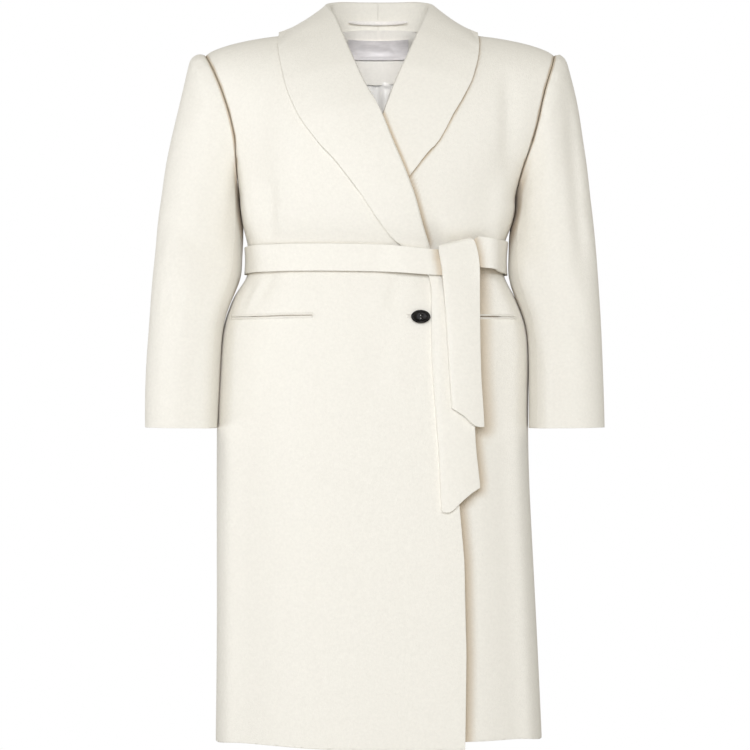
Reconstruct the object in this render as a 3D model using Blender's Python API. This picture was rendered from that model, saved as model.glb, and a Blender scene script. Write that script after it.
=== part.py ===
"""A long wrap coat in thick napped wool, in the shape it has when worn, with nobody in it.

+X is the wearer's left, -Y the front and +Z up. The origin is the middle of the neck at the
height of the shoulders, where the wearer holds the coat up. Every size is in metres.

The body is a stack of rounded sections. A place on it is a distance X and a level: 0 at the
underarm, up to 1 at the shoulder seam, and metres below the underarm as negative numbers.
Everything else is laid on that body or hung from its armholes.
"""
import bisect
import math

import bmesh
import bpy
from mathutils import Vector

# ---- cloth ----
COATING = 0.003            # one wall of wool coating
BELT_COATING = 0.0045      # the belt, two layers pressed
BELT_END_COATING = 0.005   # the belt's free ends, not pressed
SATIN = 0.001              # lining and label
FACING = 0.0015
SEAM = 0.0003              # gap between two pieces sewn edge to edge
LAY = 0.0015               # air under a piece that lies on another
FALL_LAY = 0.0042          # air under the collar at the back of the neck
LINING_AIR = 0.0038        # air between the coating and what lines it
TURN_AIR = 0.0022          # air between the front and the facing turned in behind it
ROLL_RADIUS = 0.0062       # the soft fold of the collar at the neck
LAPEL_SPRING = 0.0015      # how far a lapel's middle stands off the front
FALL_BULGE = 0.45          # how far the collar's fall swells out below its roll
NECK_SPRING = 0.0016       # how much further the collar stands off beside the neck
FACING_TURN = 0.013        # how far the collar's facing runs on inside the front

# ---- body ----
FULLNESS = 2.3             # 2 is an ellipse, more is squarer
UNDERARM_Z = -0.240
HEM_LEVEL = -0.781
ARMHOLE_DEPTH = 0.073      # from the side seam's plane to the armhole's front or back
CHEST_ROUND = 2.0          # how soon the front falls back above the bust
BACK_ROUND = 3.0
NECK_HALF = 0.085          # centre back to the shoulder seam at the neck
NECK_DEPTH = 0.066         # the neckline's centre back, behind the shoulder seams
NECK_FLATTEN = 0.7


def table(columns, *rows):
    """Rows of numbers with named columns."""
    names = columns.split()
    return [dict(zip(names, row)) for row in rows]


def track(rows, key, column):
    """A smooth curve of one column over another, which never swings past its rows."""
    pairs = sorted((row[key], row[column]) for row in rows)
    keys = [pair[0] for pair in pairs]
    values = [pair[1] for pair in pairs]
    gaps = [high - low for low, high in zip(keys, keys[1:])]
    slopes = [(high - low) / gap for low, high, gap in zip(values, values[1:], gaps)]
    bends = [slopes[0]]
    for before, after in zip(slopes, slopes[1:]):
        turning = before * after <= 0
        bends.append(0.0 if turning else 2 * before * after / (before + after))
    bends.append(slopes[-1])

    def value(place):
        place = min(max(place, keys[0]), keys[-1])
        at = min(bisect.bisect_right(keys, place) - 1, len(gaps) - 1)
        gap, share = gaps[at], (place - keys[at]) / gaps[at]
        rest = 1 - share
        return (values[at] * (1 + 2 * share) * rest ** 2 + bends[at] * gap * share * rest ** 2
                + values[at + 1] * (1 + 2 * rest) * share ** 2
                - bends[at + 1] * gap * rest * share ** 2)
    return value


# Half-widths and depths of the body from the underarm down.
BODY = table("z       right   left    front   back",
             (-0.240, 0.2007, 0.1990, 0.1500, 0.1150),
             (-0.262, 0.1990, 0.1982, 0.1485, 0.1120),
             (-0.272, 0.1976, 0.1964, 0.1458, 0.1092),
             (-0.283, 0.1957, 0.1932, 0.1420, 0.1060),
             (-0.293, 0.1936, 0.1902, 0.1372, 0.1031),
             (-0.309, 0.1895, 0.1835, 0.1280, 0.0990),
             (-0.335, 0.1865, 0.1800, 0.1230, 0.0970),
             (-0.355, 0.1885, 0.1818, 0.1240, 0.1010),
             (-0.3655, 0.1970, 0.1878, 0.1270, 0.1052),
             (-0.381, 0.2045, 0.1945, 0.1320, 0.1120),
             (-0.399, 0.2128, 0.2026, 0.1380, 0.1200),
             (-0.421, 0.2218, 0.2122, 0.1430, 0.1280),
             (-0.457, 0.2276, 0.2180, 0.1470, 0.1370),
             (-0.500, 0.2300, 0.2184, 0.1482, 0.1410),
             (-0.540, 0.2318, 0.2180, 0.1492, 0.1443),
             (-0.576, 0.2334, 0.2170, 0.1500, 0.1470),
             (-0.740, 0.2335, 0.2233, 0.1520, 0.1520),
             (-0.885, 0.2335, 0.2306, 0.1530, 0.1540),
             (-1.022, 0.2350, 0.2370, 0.1540, 0.1550))

# How much higher than level each hem rides, by X.
RIGHT_HEM = table("x       rise",
                  (-0.2350, -0.0035), (-0.2150, 0.0015), (-0.1900, 0.0028), (-0.1500, 0.0030),
                  (-0.0900, 0.0012), (0.0000, -0.0004), (0.1250, -0.0004))
LEFT_HEM = table("x       rise",
                 (-0.1050, 0.0110), (0.1100, 0.0090), (0.1500, 0.0088), (0.1900, 0.0086),
                 (0.2150, 0.0070), (0.2300, 0.0030), (0.2370, 0.0000))
BACK_HEM = table("x       rise", (-0.2350, -0.0035), (-0.1900, 0.0000), (0.2370, 0.0000))

# Height of the shoulder line, by the share of the way out to the shoulder tip.
SHOULDER = table("reach  z",
                 (0.000, 0.0125), (0.200, 0.0086), (0.340, -0.0006), (0.500, -0.0070),
                 (0.567, -0.0090), (0.630, -0.0108), (0.740, -0.0153), (0.845, -0.0211),
                 (0.915, -0.0266), (0.970, -0.0324), (1.000, -0.0380))

# The armhole's front edge, by level. Its back edge runs straight from end to end.
ARMHOLE = table("level right   left",
                (0.00, 0.2007, 0.1990), (0.10, 0.2014, 0.2033), (0.25, 0.2024, 0.2130),
                (0.40, 0.2050, 0.2238), (0.50, 0.2106, 0.2287), (0.65, 0.2204, 0.2354),
                (0.80, 0.2322, 0.2440), (0.90, 0.2410, 0.2500), (1.00, 0.2497, 0.2545))

# The inner edge of each front: the neckline, the roll of the lapel, then the front edge.
RIGHT_EDGE = table("z       x",
                   (0.0010, -0.0850), (-0.0080, -0.0780), (-0.0220, -0.0640),
                   (-0.0360, -0.0520), (-0.0500, -0.0430), (-0.0620, -0.0370),
                   (-0.0926, -0.0241), (-0.1338, -0.0026), (-0.1957, 0.0223),
                   (-0.2264, 0.0350), (-0.2653, 0.0478), (-0.2996, 0.0586),
                   (-0.3233, 0.0641), (-0.3430, 0.0690), (-0.3520, 0.0750),
                   (-0.3614, 0.0785), (-0.4100, 0.0873), (-0.4655, 0.0957),
                   (-0.5766, 0.1033), (-0.6850, 0.1101), (-0.7225, 0.1145),
                   (-0.7628, 0.1175), (-0.8100, 0.1192), (-0.8710, 0.1203),
                   (-1.0240, 0.1186))
LEFT_EDGE = table("z       x",
                  (0.0010, 0.0870), (-0.0080, 0.0800), (-0.0220, 0.0660),
                  (-0.0360, 0.0540), (-0.0500, 0.0465), (-0.0620, 0.0405),
                  (-0.0914, 0.0277), (-0.1142, 0.0190), (-0.1345, 0.0115),
                  (-0.1957, -0.0135), (-0.2264, -0.0285), (-0.2653, -0.0415),
                  (-0.2996, -0.0515), (-0.3350, -0.0585), (-0.3450, -0.0640),
                  (-0.3700, -0.0800), (-0.4500, -0.0980), (-0.6000, -0.1050),
                  (-1.0240, -0.1050))

# How far the right front stands off the body where it crosses what lies under it.
OVERLAP = table("z       out",
                (0.014, 0.0), (-0.020, 0.0), (-0.060, 0.0035), (-0.100, 0.0085),
                (-0.140, 0.0140), (-0.180, 0.0152), (-0.345, 0.0148), (-0.400, 0.0085),
                (-0.460, 0.0050),
                (-1.030, 0.0048))
OVERLAP_START = -0.175     # X where the right front begins to lift
OVERLAP_RUN = 0.060

# ---- collar: each row is a section from the inside of the neck, over the roll, to the edge ----
RIGHT_STAND = table("roll_x   roll_y  roll_z  in_x     in_y     in_z     edge_x   edge_z   face",
                    (0.0000, 0.0680, 0.0495, 0.0000, 0.0575, 0.0070, 0.0000, -0.0300, "back"),
                    (-0.0280, 0.0665, 0.0495, -0.0250, 0.0530, 0.0065, -0.0450, -0.0300, "back"),
                    (-0.0535, 0.0550, 0.0485, -0.0490, 0.0392, 0.0030, -0.0860, -0.0270, "back"),
                    (-0.0705, 0.0350, 0.0435, -0.0672, 0.0208, -0.0010, -0.1200, -0.0175, "back"),
                    (-0.0700, 0.0100, 0.0350, -0.0795, -0.0010, -0.0050, -0.1415, -0.0078, "ridge"),
                    (-0.0662, -0.0100, 0.0262, -0.0775, -0.0155, -0.0068, -0.1419, -0.0135, "front"),
                    (-0.0600, -0.0300, 0.0150, -0.0725, -0.0295, -0.0100, -0.1416, -0.0293, "front"))
LEFT_STAND = table("roll_x   roll_y  roll_z  in_x     in_y     in_z     edge_x   edge_z   face",
                   (0.0000, 0.0680, 0.0495, 0.0000, 0.0575, 0.0070, 0.0000, -0.0300, "back"),
                   (0.0300, 0.0665, 0.0495, 0.0260, 0.0530, 0.0065, 0.0460, -0.0300, "back"),
                   (0.0550, 0.0550, 0.0485, 0.0510, 0.0392, 0.0030, 0.0880, -0.0270, "back"),
                   (0.0725, 0.0350, 0.0435, 0.0695, 0.0208, -0.0010, 0.1210, -0.0175, "back"),
                   (0.0750, 0.0100, 0.0355, 0.0815, -0.0010, -0.0050, 0.1422, -0.0085, "ridge"),
                   (0.0718, -0.0100, 0.0262, 0.0797, -0.0155, -0.0068, 0.1429, -0.0140, "front"),
                   (0.0665, -0.0300, 0.0150, 0.0750, -0.0295, -0.0100, 0.1432, -0.0293, "front"))
RIGHT_LAPEL = table("roll_x   roll_z   edge_x   edge_z   turn",
                    (-0.0460, -0.0222, -0.1374, -0.0542, 0.026),
                    (-0.0330, -0.0560, -0.1302, -0.0826, 0.016),
                    (-0.0176, -0.0926, -0.1187, -0.1147, FACING_TURN),
                    (0.0039, -0.1338, -0.1000, -0.1500, FACING_TURN),
                    (0.0200, -0.1740, -0.0780, -0.1785, FACING_TURN),
                    (0.0360, -0.2120, -0.0510, -0.2105, FACING_TURN),
                    (0.0500, -0.2500, -0.0235, -0.2460, FACING_TURN),
                    (0.0610, -0.2860, 0.0010, -0.2790, FACING_TURN),
                    (0.0690, -0.3150, 0.0250, -0.3095, FACING_TURN),
                    (0.0745, -0.3400, 0.0550, -0.3385, FACING_TURN))
LEFT_LAPEL = table("roll_x   roll_z   edge_x   edge_z   turn",
                   (0.0510, -0.0222, 0.1395, -0.0560, 0.026),
                   (0.0366, -0.0560, 0.1317, -0.0826, 0.016),
                   (0.0212, -0.0914, 0.1180, -0.1110, FACING_TURN),
                   (0.0080, -0.1280, 0.1027, -0.1373, FACING_TURN),
                   (-0.0060, -0.1650, 0.0850, -0.1700, FACING_TURN),
                   (-0.0230, -0.2030, 0.0600, -0.2000, FACING_TURN),
                   (-0.0390, -0.2400, 0.0300, -0.2400, FACING_TURN),
                   (-0.0520, -0.2750, 0.0000, -0.2760, FACING_TURN),
                   (-0.0590, -0.3050, -0.0230, -0.3060, FACING_TURN),
                   (-0.0640, -0.3300, -0.0450, -0.3290, FACING_TURN))
# Rows of faces from each section to the next: close at the neck and where the bust falls away.
COLLAR_STEPS = (2, 2, 2, 2, 1, 1, 2, 1, 2, 2, 1, 2, 2, 2, 2, 1)

# ---- sleeves: each row is a ring, from the armhole to the cuff ----
RIGHT_SLEEVE = table("outer_x outer_z  inner_x  inner_z  depth   forward tuck",
                     (0.2497, -0.0380, 0.2007, -0.2400, 0.0730, 0.0000, 0.0000),
                     (0.2590, -0.0358, 0.2016, -0.2440, 0.0750, 0.0000, 0.0020),
                     (0.2700, -0.0420, 0.2014, -0.2510, 0.0755, 0.0000, 0.0050),
                     (0.2762, -0.0600, 0.2002, -0.2600, 0.0750, 0.0000, 0.0080),
                     (0.2860, -0.1030, 0.1980, -0.2760, 0.0735, 0.0010, 0.0095),
                     (0.2978, -0.1523, 0.1957, -0.2950, 0.0720, 0.0025, 0.0050),
                     (0.3072, -0.2000, 0.1956, -0.3150, 0.0705, 0.0060, 0.0000),
                     (0.3130, -0.2450, 0.1966, -0.3350, 0.0690, 0.0110, 0.0000),
                     (0.3180, -0.2860, 0.1984, -0.3600, 0.0675, 0.0190, 0.0000),
                     (0.3223, -0.3500, 0.2085, -0.3900, 0.0655, 0.0385, 0.0000),
                     (0.3268, -0.4200, 0.2208, -0.4300, 0.0630, 0.0480, 0.0010),
                     (0.3312, -0.4800, 0.2252, -0.4850, 0.0600, 0.0490, 0.0030),
                     (0.3331, -0.5350, 0.2276, -0.5360, 0.0575, 0.0500, 0.0030),
                     (0.3330, -0.5735, 0.2297, -0.5745, 0.0560, 0.0520, 0.0020))
LEFT_SLEEVE = table("outer_x outer_z  inner_x  inner_z  depth   forward tuck",
                    (0.2545, -0.0380, 0.1990, -0.2400, 0.0730, 0.0000, 0.0000),
                    (0.2632, -0.0362, 0.2002, -0.2440, 0.0750, 0.0000, 0.0020),
                    (0.2715, -0.0440, 0.2003, -0.2510, 0.0755, 0.0000, 0.0050),
                    (0.2780, -0.0640, 0.1997, -0.2600, 0.0750, 0.0000, 0.0080),
                    (0.2885, -0.1070, 0.1968, -0.2760, 0.0735, 0.0010, 0.0095),
                    (0.2958, -0.1540, 0.1912, -0.2950, 0.0720, 0.0025, 0.0050),
                    (0.3022, -0.1990, 0.1893, -0.3150, 0.0705, 0.0060, 0.0000),
                    (0.3068, -0.2450, 0.1886, -0.3350, 0.0690, 0.0120, 0.0000),
                    (0.3106, -0.2860, 0.1887, -0.3600, 0.0675, 0.0220, 0.0000),
                    (0.3152, -0.3500, 0.1970, -0.3900, 0.0655, 0.0330, 0.0000),
                    (0.3192, -0.4200, 0.2116, -0.4300, 0.0630, 0.0400, 0.0010),
                    (0.3210, -0.4800, 0.2154, -0.4850, 0.0600, 0.0500, 0.0030),
                    (0.3229, -0.5350, 0.2156, -0.5360, 0.0575, 0.0510, 0.0030),
                    (0.3238, -0.5735, 0.2156, -0.5745, 0.0560, 0.0520, 0.0020))
SLEEVE_SETTLE = (1.0, 0.92, 0.75, 0.55, 0.3, 0.12)   # how much of the armhole's shape a ring keeps
ARMHOLE_SEAM = 0.0006
FOREARM_SEAM = 145         # degrees round the sleeve from its outer line, towards the front
HIND_SEAM = -110
TUCK_ANGLE = -138          # where the back of a sleeve reaches in behind the body
TUCK_SPREAD = 12
TOP_SLEEVE_STRIPS = 13
UNDER_SLEEVE_STRIPS = 5

# ---- belt ----
# turn is degrees round the waist from the centre front towards the left side.
BELT_RUN = table("turn  z        half",
                 (36, -0.3300, 0.0110), (39, -0.3285, 0.0134), (41.5, -0.3269, 0.0206),
                 (48, -0.3288, 0.0203), (60, -0.3312, 0.0217), (75, -0.3322, 0.0226),
                 (90, -0.3335, 0.0220),
                 (180, -0.3340, 0.0187), (270, -0.3357, 0.0187), (320, -0.3350, 0.0185),
                 (360, -0.3370, 0.0183), (385, -0.3430, 0.0175), (394, -0.3445, 0.0172))
BELT_TURNS = [36, 39, 41.5] + [48 + 346 / 63 * step for step in range(64)]
BELT_CROWN = 0.0008        # how much the belt's long edges are rounded back
# How far the belt stands off the body over the fronts, the lapel and its own lower end.
BELT_COVER = table("x      out",
                   (-0.240, LAY), (-0.175, LAY), (-0.115, 0.0165), (0.010, 0.0165),
                   (0.028, 0.0220), (0.066, 0.0225), (0.144, 0.0225), (0.168, 0.0050),
                   (0.186, LAY), (0.240, LAY))
UPPER_END = table("z       left    right",
                  (-0.3216, 0.0846, 0.1385), (-0.3289, 0.0858, 0.1402),
                  (-0.3586, 0.0907, 0.1425), (-0.3828, 0.0925, 0.1425),
                  (-0.4450, 0.0968, 0.1427), (-0.5016, 0.1005, 0.1441),
                  (-0.5458, 0.1034, 0.1470), (-0.5730, 0.1052, 0.1485))
UPPER_END_TIP = table("across z", (0.00, -0.5465), (0.38, -0.5575), (0.76, -0.5717), (1.00, -0.5721))
UPPER_END_HOOK = table("out    up       right",       # over the belt's top edge, from behind it
                       (0.0155, -0.0120, 0.1290), (0.0155, -0.0010, 0.1275),
                       (0.0175, 0.0045, 0.1270), (0.0240, 0.0067, 0.1275),
                       (0.0300, 0.0056, 0.1300), (0.0338, 0.0005, 0.1355))
UPPER_END_RUN = table("z       out",
                      (-0.3345, 0.0345), (-0.3480, 0.0345), (-0.3620, 0.0330), (-0.3850, 0.0240),
                      (-0.4200, 0.0198), (-0.4600, 0.0182), (-0.5000, 0.0178), (-0.5750, 0.0178))
UPPER_END_TOP_LEFT = -0.3255     # the belt's top edge under the hook
UPPER_END_TOP_RIGHT = -0.3145
LOWER_END = table("z       left    right",
                  (-0.3500, 0.0690, 0.1280), (-0.3580, 0.0685, 0.1290), (-0.3660, 0.0745, 0.1295),
                  (-0.4518, 0.0746, 0.1310), (-0.5321, 0.0790, 0.1335), (-0.5944, 0.0840, 0.1360),
                  (-0.6533, 0.0872, 0.1420), (-0.6950, 0.0892, 0.1450))
LOWER_END_TIP = table("across z", (0.00, -0.6900), (0.12, -0.6918), (0.40, -0.6817),
                      (0.68, -0.6684), (1.00, -0.6566))
LOWER_END_TOP = -0.3515
BELT_END_STRIPS = 5

# ---- pockets, button and the inside of the neck ----
POCKETS = table("side     near    far", ("right", 0.0905, 0.2060), ("left", 0.0945, 0.1930))
POCKET_SLOT_Z = -0.4185
LIP_HEIGHT = 0.0032
LIP_OUT = 0.0024
LIP_WALL = 0.0015
BUTTON_AT = (0.0590, -0.4194)
BUTTON_SIZE = (0.0272, 0.0188)
BUTTON_THICK = 0.0032
BUTTON_HOLE = 0.0011
BUTTON_HOLE_APART = 0.0048
BUTTON_STANDS_OFF = 0.0022
BUTTONHOLE_HALF = 0.0105
BUTTONHOLE_BEAD = 0.0006
BUTTONHOLE_GAP = 0.0017
BUTTONHOLE_AT = (0.0500, -0.4187)
FACING_HALF = 0.072
FACING_SETTLE = 0.025
FACING_SEAM = 0.0008
FACING_LOW = -0.0696
FACING_LOW_SIDE = -0.052
FACING_AIR = 0.0060        # the facing covers the lining's upper edge
FACING_AIR_SIDE = 0.0085
LINING_TURNS = (-87, -78, -66, -54, -42, -31, -21, -16, -11, -5.5, 0, 3, 4.6, 5.5, 11, 16, 21,
                31, 42, 54, 66, 78, 87)
LINING_FULL_LEVEL = 0.60
LINING_TUCK = 0.62
PLEAT_RISE = 0.004
SIDE_AIR = 0.0020          # more air at the side seams, where the body turns
LABEL_AIR = 0.0020
LABEL_BOX = table("edge  x       z", ("low", -0.0431, -0.0340), ("high", 0.0440, -0.0088))
LOOP_RADIUS = 0.0026
LOOP_HALF = 0.044
LOOP_Z = 0.0160
LOOP_Y = 0.0545
LOOP_BOW = 0.0133

# ---- colours, linear ----
WOOL = (0.88, 0.85, 0.77)
WOOL_COLLAR = (0.85, 0.82, 0.74)
WOOL_BELT = (0.90, 0.87, 0.80)
WOOL_FACING = (0.70, 0.67, 0.60)
LINING_CLOTH = (0.72, 0.69, 0.64)
LABEL_CLOTH = (0.52, 0.50, 0.49)
BUTTON_HORN = (0.020, 0.018, 0.016)

right_edge_at = track(RIGHT_EDGE, "z", "x")
left_edge_at = track(LEFT_EDGE, "z", "x")
overlap_at = track(OVERLAP, "z", "out")
shoulder_at = track(SHOULDER, "reach", "z")
body_at = {column: track(BODY, "z", column) for column in ("right", "left", "front", "back")}
armhole_at = {side: track(ARMHOLE, "level", side) for side in ("right", "left")}


def smooth(share):
    """0 to 1 with a soft start and a soft end."""
    share = min(max(share, 0.0), 1.0)
    return share * share * (3 - 2 * share)


def side_of(x):
    return "left" if x > 0 else "right"


def reach(x, face, level):
    """Half-width of the cloth at a level: to the side seam, or to the armhole above it."""
    side = side_of(x)
    if level <= 0:
        return body_at[side](UNDERARM_Z + level)
    if face == "front":
        return armhole_at[side](level)
    low, high = armhole_at[side](0.0), armhole_at[side](1.0)
    return low + (high - low) * level


def depth(face, level):
    """From the side seams' plane to the centre front or centre back."""
    if level <= 0:
        return body_at[face](UNDERARM_Z + level)
    power = CHEST_ROUND if face == "front" else BACK_ROUND
    return body_at[face](UNDERARM_Z) * math.sqrt(1 - min(level, 0.99999) ** power)


def girth(x, face, level):
    """Half-width of the whole rounded section, which above the underarm the armhole cuts off."""
    edge = reach(x, face, level)
    if level <= 0:
        return edge
    level = min(level, 0.99999)
    cut = ARMHOLE_DEPTH * 2 * math.sqrt(level * (1 - level)) / depth(face, level)
    return edge / (1 - cut ** FULLNESS) ** (1 / FULLNESS)


def shoulder_z(x):
    return shoulder_at(min(abs(x) / armhole_at[side_of(x)](1.0), 1.0))


def body_point(face, x, level):
    """A place on the body's outer surface."""
    share = min(abs(x) / girth(x, face, level), 1.0)
    bulge = (1 - share ** FULLNESS) ** (1 / FULLNESS)
    if level <= 0:
        y, z = depth(face, level) * bulge, UNDERARM_Z + level
    else:
        z = UNDERARM_Z + level * (shoulder_z(x) - UNDERARM_Z)
        y = depth(face, level) * bulge
        if face == "back":
            neck = max(1 - (x / NECK_HALF) ** 2, 0.0)
            ridge = NECK_DEPTH * neck ** NECK_FLATTEN
            fall = (1 - level ** BACK_ROUND) ** (0.5 + 0.35 * smooth(neck))
            y = ridge + (body_at[face](UNDERARM_Z) * bulge - ridge) * fall
    return Vector((x, -y if face == "front" else y, z))


def level_of(x, z):
    if z <= UNDERARM_Z:
        return z - UNDERARM_Z
    return min((z - UNDERARM_Z) / (shoulder_z(x) - UNDERARM_Z), 1.0)


def body_normal(face, x, level):
    """The direction straight out of the body's surface."""
    step = 0.002
    limit = girth(x, face, level) - 2 * step
    x = max(-limit, min(limit, x))
    across = body_point(face, x + step, level) - body_point(face, x - step, level)
    up = body_point(face, x, min(level + step, 1.0)) - body_point(face, x, level - step)
    normal = across.cross(up).normalized()
    return normal if face == "front" else -normal


def on_body(face, x, z, out):
    """A place that stands off the body's surface by a distance."""
    level = level_of(x, z)
    return body_point(face, x, level) + body_normal(face, x, level) * out


def in_front(x, z, out):
    """A place straight in front of the body, so that it keeps its X, clear of it by a distance."""
    level = level_of(x, z)
    return body_point("front", x, level) + Vector((0, out / body_normal("front", x, level).y, 0))


def overlap(x, z):
    """How far the right front is lifted by what it crosses."""
    return overlap_at(z) * smooth((x - OVERLAP_START) / OVERLAP_RUN)


def unit_width(angle):
    """Half-width of a unit section at an angle from its centre."""
    sine, cosine = abs(math.sin(angle)), abs(math.cos(angle))
    return sine / (sine ** FULLNESS + cosine ** FULLNESS) ** (1 / FULLNESS)


def angle_at(x, face, level):
    """The signed angle from the centre at which a section is x wide."""
    share = min(abs(x) / reach(x, face, level), 1.0)
    angle = math.atan2(share, (1 - share ** FULLNESS) ** (1 / FULLNESS))
    return math.copysign(angle, x)


def x_at(angle, face, level):
    return math.copysign(reach(angle, face, level) * unit_width(angle), angle)


def edge_x(edge_at, level):
    """Where a front's inner edge is on one level, whose height changes with X."""
    x = edge_at(UNDERARM_Z + level if level <= 0 else UNDERARM_Z * (1 - level))
    for _ in range(30):
        x = edge_at(body_point("front", x, level).z)
    return x


UPPER_ROWS = 9
LOWER_LEVELS = (-0.018, -0.034, -0.050, -0.070, -0.093, -0.118, -0.141, -0.165, -0.200, -0.250,
                -0.320, -0.410, -0.520, -0.650, HEM_LEVEL)
BACK_TURNS = (90, 78, 66, 54, 42, 31, 21, 16, 11, 5.5, 0)
FRONT_STRIPS = 13
LEVELS = [math.sin(math.radians(90 - 90 * row / UPPER_ROWS)) for row in range(UPPER_ROWS + 1)]
LEVELS += LOWER_LEVELS


def point_normals(points):
    """The normal at each point of a grid, from its neighbours."""
    rows, columns = len(points), len(points[0])
    normals = []
    for row in range(rows):
        line = []
        for column in range(columns):
            along = points[row][min(column + 1, columns - 1)] - points[row][max(column - 1, 0)]
            down = points[min(row + 1, rows - 1)][column] - points[max(row - 1, 0)][column]
            line.append(along.cross(down).normalized())
        normals.append(line)
    return normals


def offset(points, normals, distance):
    return [[point + normal * distance for point, normal in zip(*lines)]
            for lines in zip(points, normals)]


def cloth_material(name, colour, roughness):
    material = bpy.data.materials.new(name)
    material.use_nodes = True
    shader = material.node_tree.nodes["Principled BSDF"]
    shader.inputs["Base Color"].default_value = (*colour, 1.0)
    shader.inputs["Roughness"].default_value = roughness
    shader.inputs["Metallic"].default_value = 0.0
    return material


def add_object(name, mesh, colour, roughness):
    """A finished bmesh becomes an object with a material of its own."""
    bmesh.ops.recalc_face_normals(mesh, faces=mesh.faces)
    data = bpy.data.meshes.new(name)
    mesh.to_mesh(data)
    mesh.free()
    data.shade_smooth()
    data.set_sharp_from_angle(angle=math.radians(50))
    data.materials.append(cloth_material(name, colour, roughness))
    piece = bpy.data.objects.new(name, data)
    bpy.context.scene.collection.objects.link(piece)
    return piece


def add_wall(name, outside, inside, colour, roughness=0.9):
    """A wall of cloth between two grids of points, closed all round its edge."""
    mesh = bmesh.new()
    rows, columns = len(outside) - 1, len(outside[0]) - 1
    for points in (outside, inside):
        grid = bmesh.ops.create_grid(mesh, x_segments=columns, y_segments=rows, size=0.5)
        for vert in grid["verts"]:
            column = round((vert.co.x + 0.5) * columns)
            row = round((vert.co.y + 0.5) * rows)
            vert.co = points[row][column]
    rims = [edge for edge in mesh.edges if edge.is_boundary]
    bmesh.ops.bridge_loops(mesh, edges=rims)
    return add_object(name, mesh, colour, roughness)


def add_tube(name, path, radius, sides, colour, up, closed=False):
    """A round cord along a path, closed into a ring or capped at both ends."""
    mesh = bmesh.new()
    count = len(path)
    rings = []
    for at, point in enumerate(path):
        if closed:
            ahead = path[(at + 1) % count] - path[at - 1]
        else:
            ahead = path[min(at + 1, count - 1)] - path[max(at - 1, 0)]
        across = ahead.cross(up).normalized()
        angles = [math.tau * side / sides for side in range(sides)]
        rings.append([mesh.verts.new(point + (across * math.cos(a) + up * math.sin(a)) * radius)
                      for a in angles])
    pairs = list(zip(rings, rings[1:])) + ([(rings[-1], rings[0])] if closed else [])
    for here, beyond in pairs:
        for side in range(sides):
            around = (side + 1) % sides
            mesh.faces.new((here[side], here[around], beyond[around], beyond[side]))
    if not closed:
        mesh.faces.new(rings[0])
        mesh.faces.new(rings[-1])
    return add_object(name, mesh, colour, 0.7)


def body_panel(name, face, side, shares, inner_x, lift=None, hem_rise=None):
    """A front or a back: from its side seam to its inner edge, shoulder to hem."""
    sign = -1 if side == "right" else 1
    seam_y = -SEAM / 2 if face == "front" else SEAM / 2
    outside, inside = [], []
    for level in LEVELS:
        outer_angle = sign * math.pi / 2
        inner_angle = angle_at(inner_x(level), face, level)
        line, lining = [], []
        for share in shares:
            x = x_at(outer_angle + (inner_angle - outer_angle) * share, face, level)
            if share == 1:
                x = inner_x(level)
            normal = body_normal(face, x, level)
            point = body_point(face, x, level)
            if share == 0 and level <= 0:
                normal = Vector((sign, 0, 0))
            if level > 0.999:
                normal = Vector((0, 0, 1)) if abs(x) > NECK_HALF * 0.98 else normal
            if face == "back" and share == 1:
                normal = Vector((0, normal.y, normal.z)).normalized()
            if lift:
                point = point + normal * lift(x, point.z)
            if hem_rise:
                point.z += hem_rise(x, level)
            point.y += seam_y
            line.append(point)
            lining.append(point - normal * COATING)
        outside.append(line)
        inside.append(lining)
    return add_wall(name, outside, inside, WOOL)


def build_body():
    def rising(rows):
        rise_at = track(rows, "x", "rise")
        return lambda x, level: rise_at(x) * smooth((-level - 0.60) / 0.18)

    back_shares = [1 - turn / 90 for turn in BACK_TURNS]
    front_shares = [strip / FRONT_STRIPS for strip in range(FRONT_STRIPS + 1)]
    for side, sign in (("right", -1), ("left", 1)):
        body_panel("back_" + side, "back", side, back_shares,
                   lambda level, sign=sign: sign * SEAM / 2, hem_rise=rising(BACK_HEM))
    body_panel("front_right", "front", "right", front_shares,
               lambda level: edge_x(right_edge_at, level), lift=overlap, hem_rise=rising(RIGHT_HEM))
    body_panel("front_left", "front", "left", front_shares,
               lambda level: edge_x(left_edge_at, level), hem_rise=rising(LEFT_HEM))


def stand_section(row):
    """The collar round the neck: a stand inside, the roll, and a fall lying on the body."""
    roll = Vector((row["roll_x"], row["roll_y"], row["roll_z"]))
    inner = Vector((row["in_x"], row["in_y"], row["in_z"]))
    face = "back" if row["face"] == "back" else "front"
    x = row["edge_x"]
    z = shoulder_z(x) if row["face"] == "ridge" else row["edge_z"]
    stand_off = COATING + {"back": FALL_LAY, "ridge": LAY, "front": LAY + NECK_SPRING}[row["face"]]
    edge = on_body(face, x, z, stand_off)
    if row["face"] == "ridge":
        edge = body_point(face, x, 1.0) + Vector((0, 0, stand_off))
    towards = roll.lerp(edge, 0.85)
    near = on_body(face, towards.x, min(z + 0.012, shoulder_z(towards.x)), stand_off)
    if row["face"] == "ridge":
        near = body_point(face, towards.x, 1.0) + Vector((0, 0, stand_off))
    down_in = (inner - roll).normalized()
    down_out = (edge - roll).normalized()
    up = -(down_in + down_out).normalized()
    out = down_out - down_in
    out = (out - up * out.dot(up)).normalized()
    half = math.sqrt(0.5)
    arc = [roll + (up * (high - 1) + out * wide) * ROLL_RADIUS
           for high, wide in ((0, -1), (half, -half), (1, 0), (half, half), (0, 1))]
    start = arc[-1]
    length = (edge - start).length
    lead = start + (out * FALL_BULGE - up) * length * 0.35
    settle = edge + (near - edge).normalized() * length * 0.35
    section = [inner, inner.lerp(arc[0], 0.5)] + arc
    for step in range(1, 5):
        q = step / 4
        p = 1 - q
        section.append(start * p ** 3 + lead * 3 * p * p * q + settle * 3 * p * q * q + edge * q ** 3)
    return section


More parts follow.
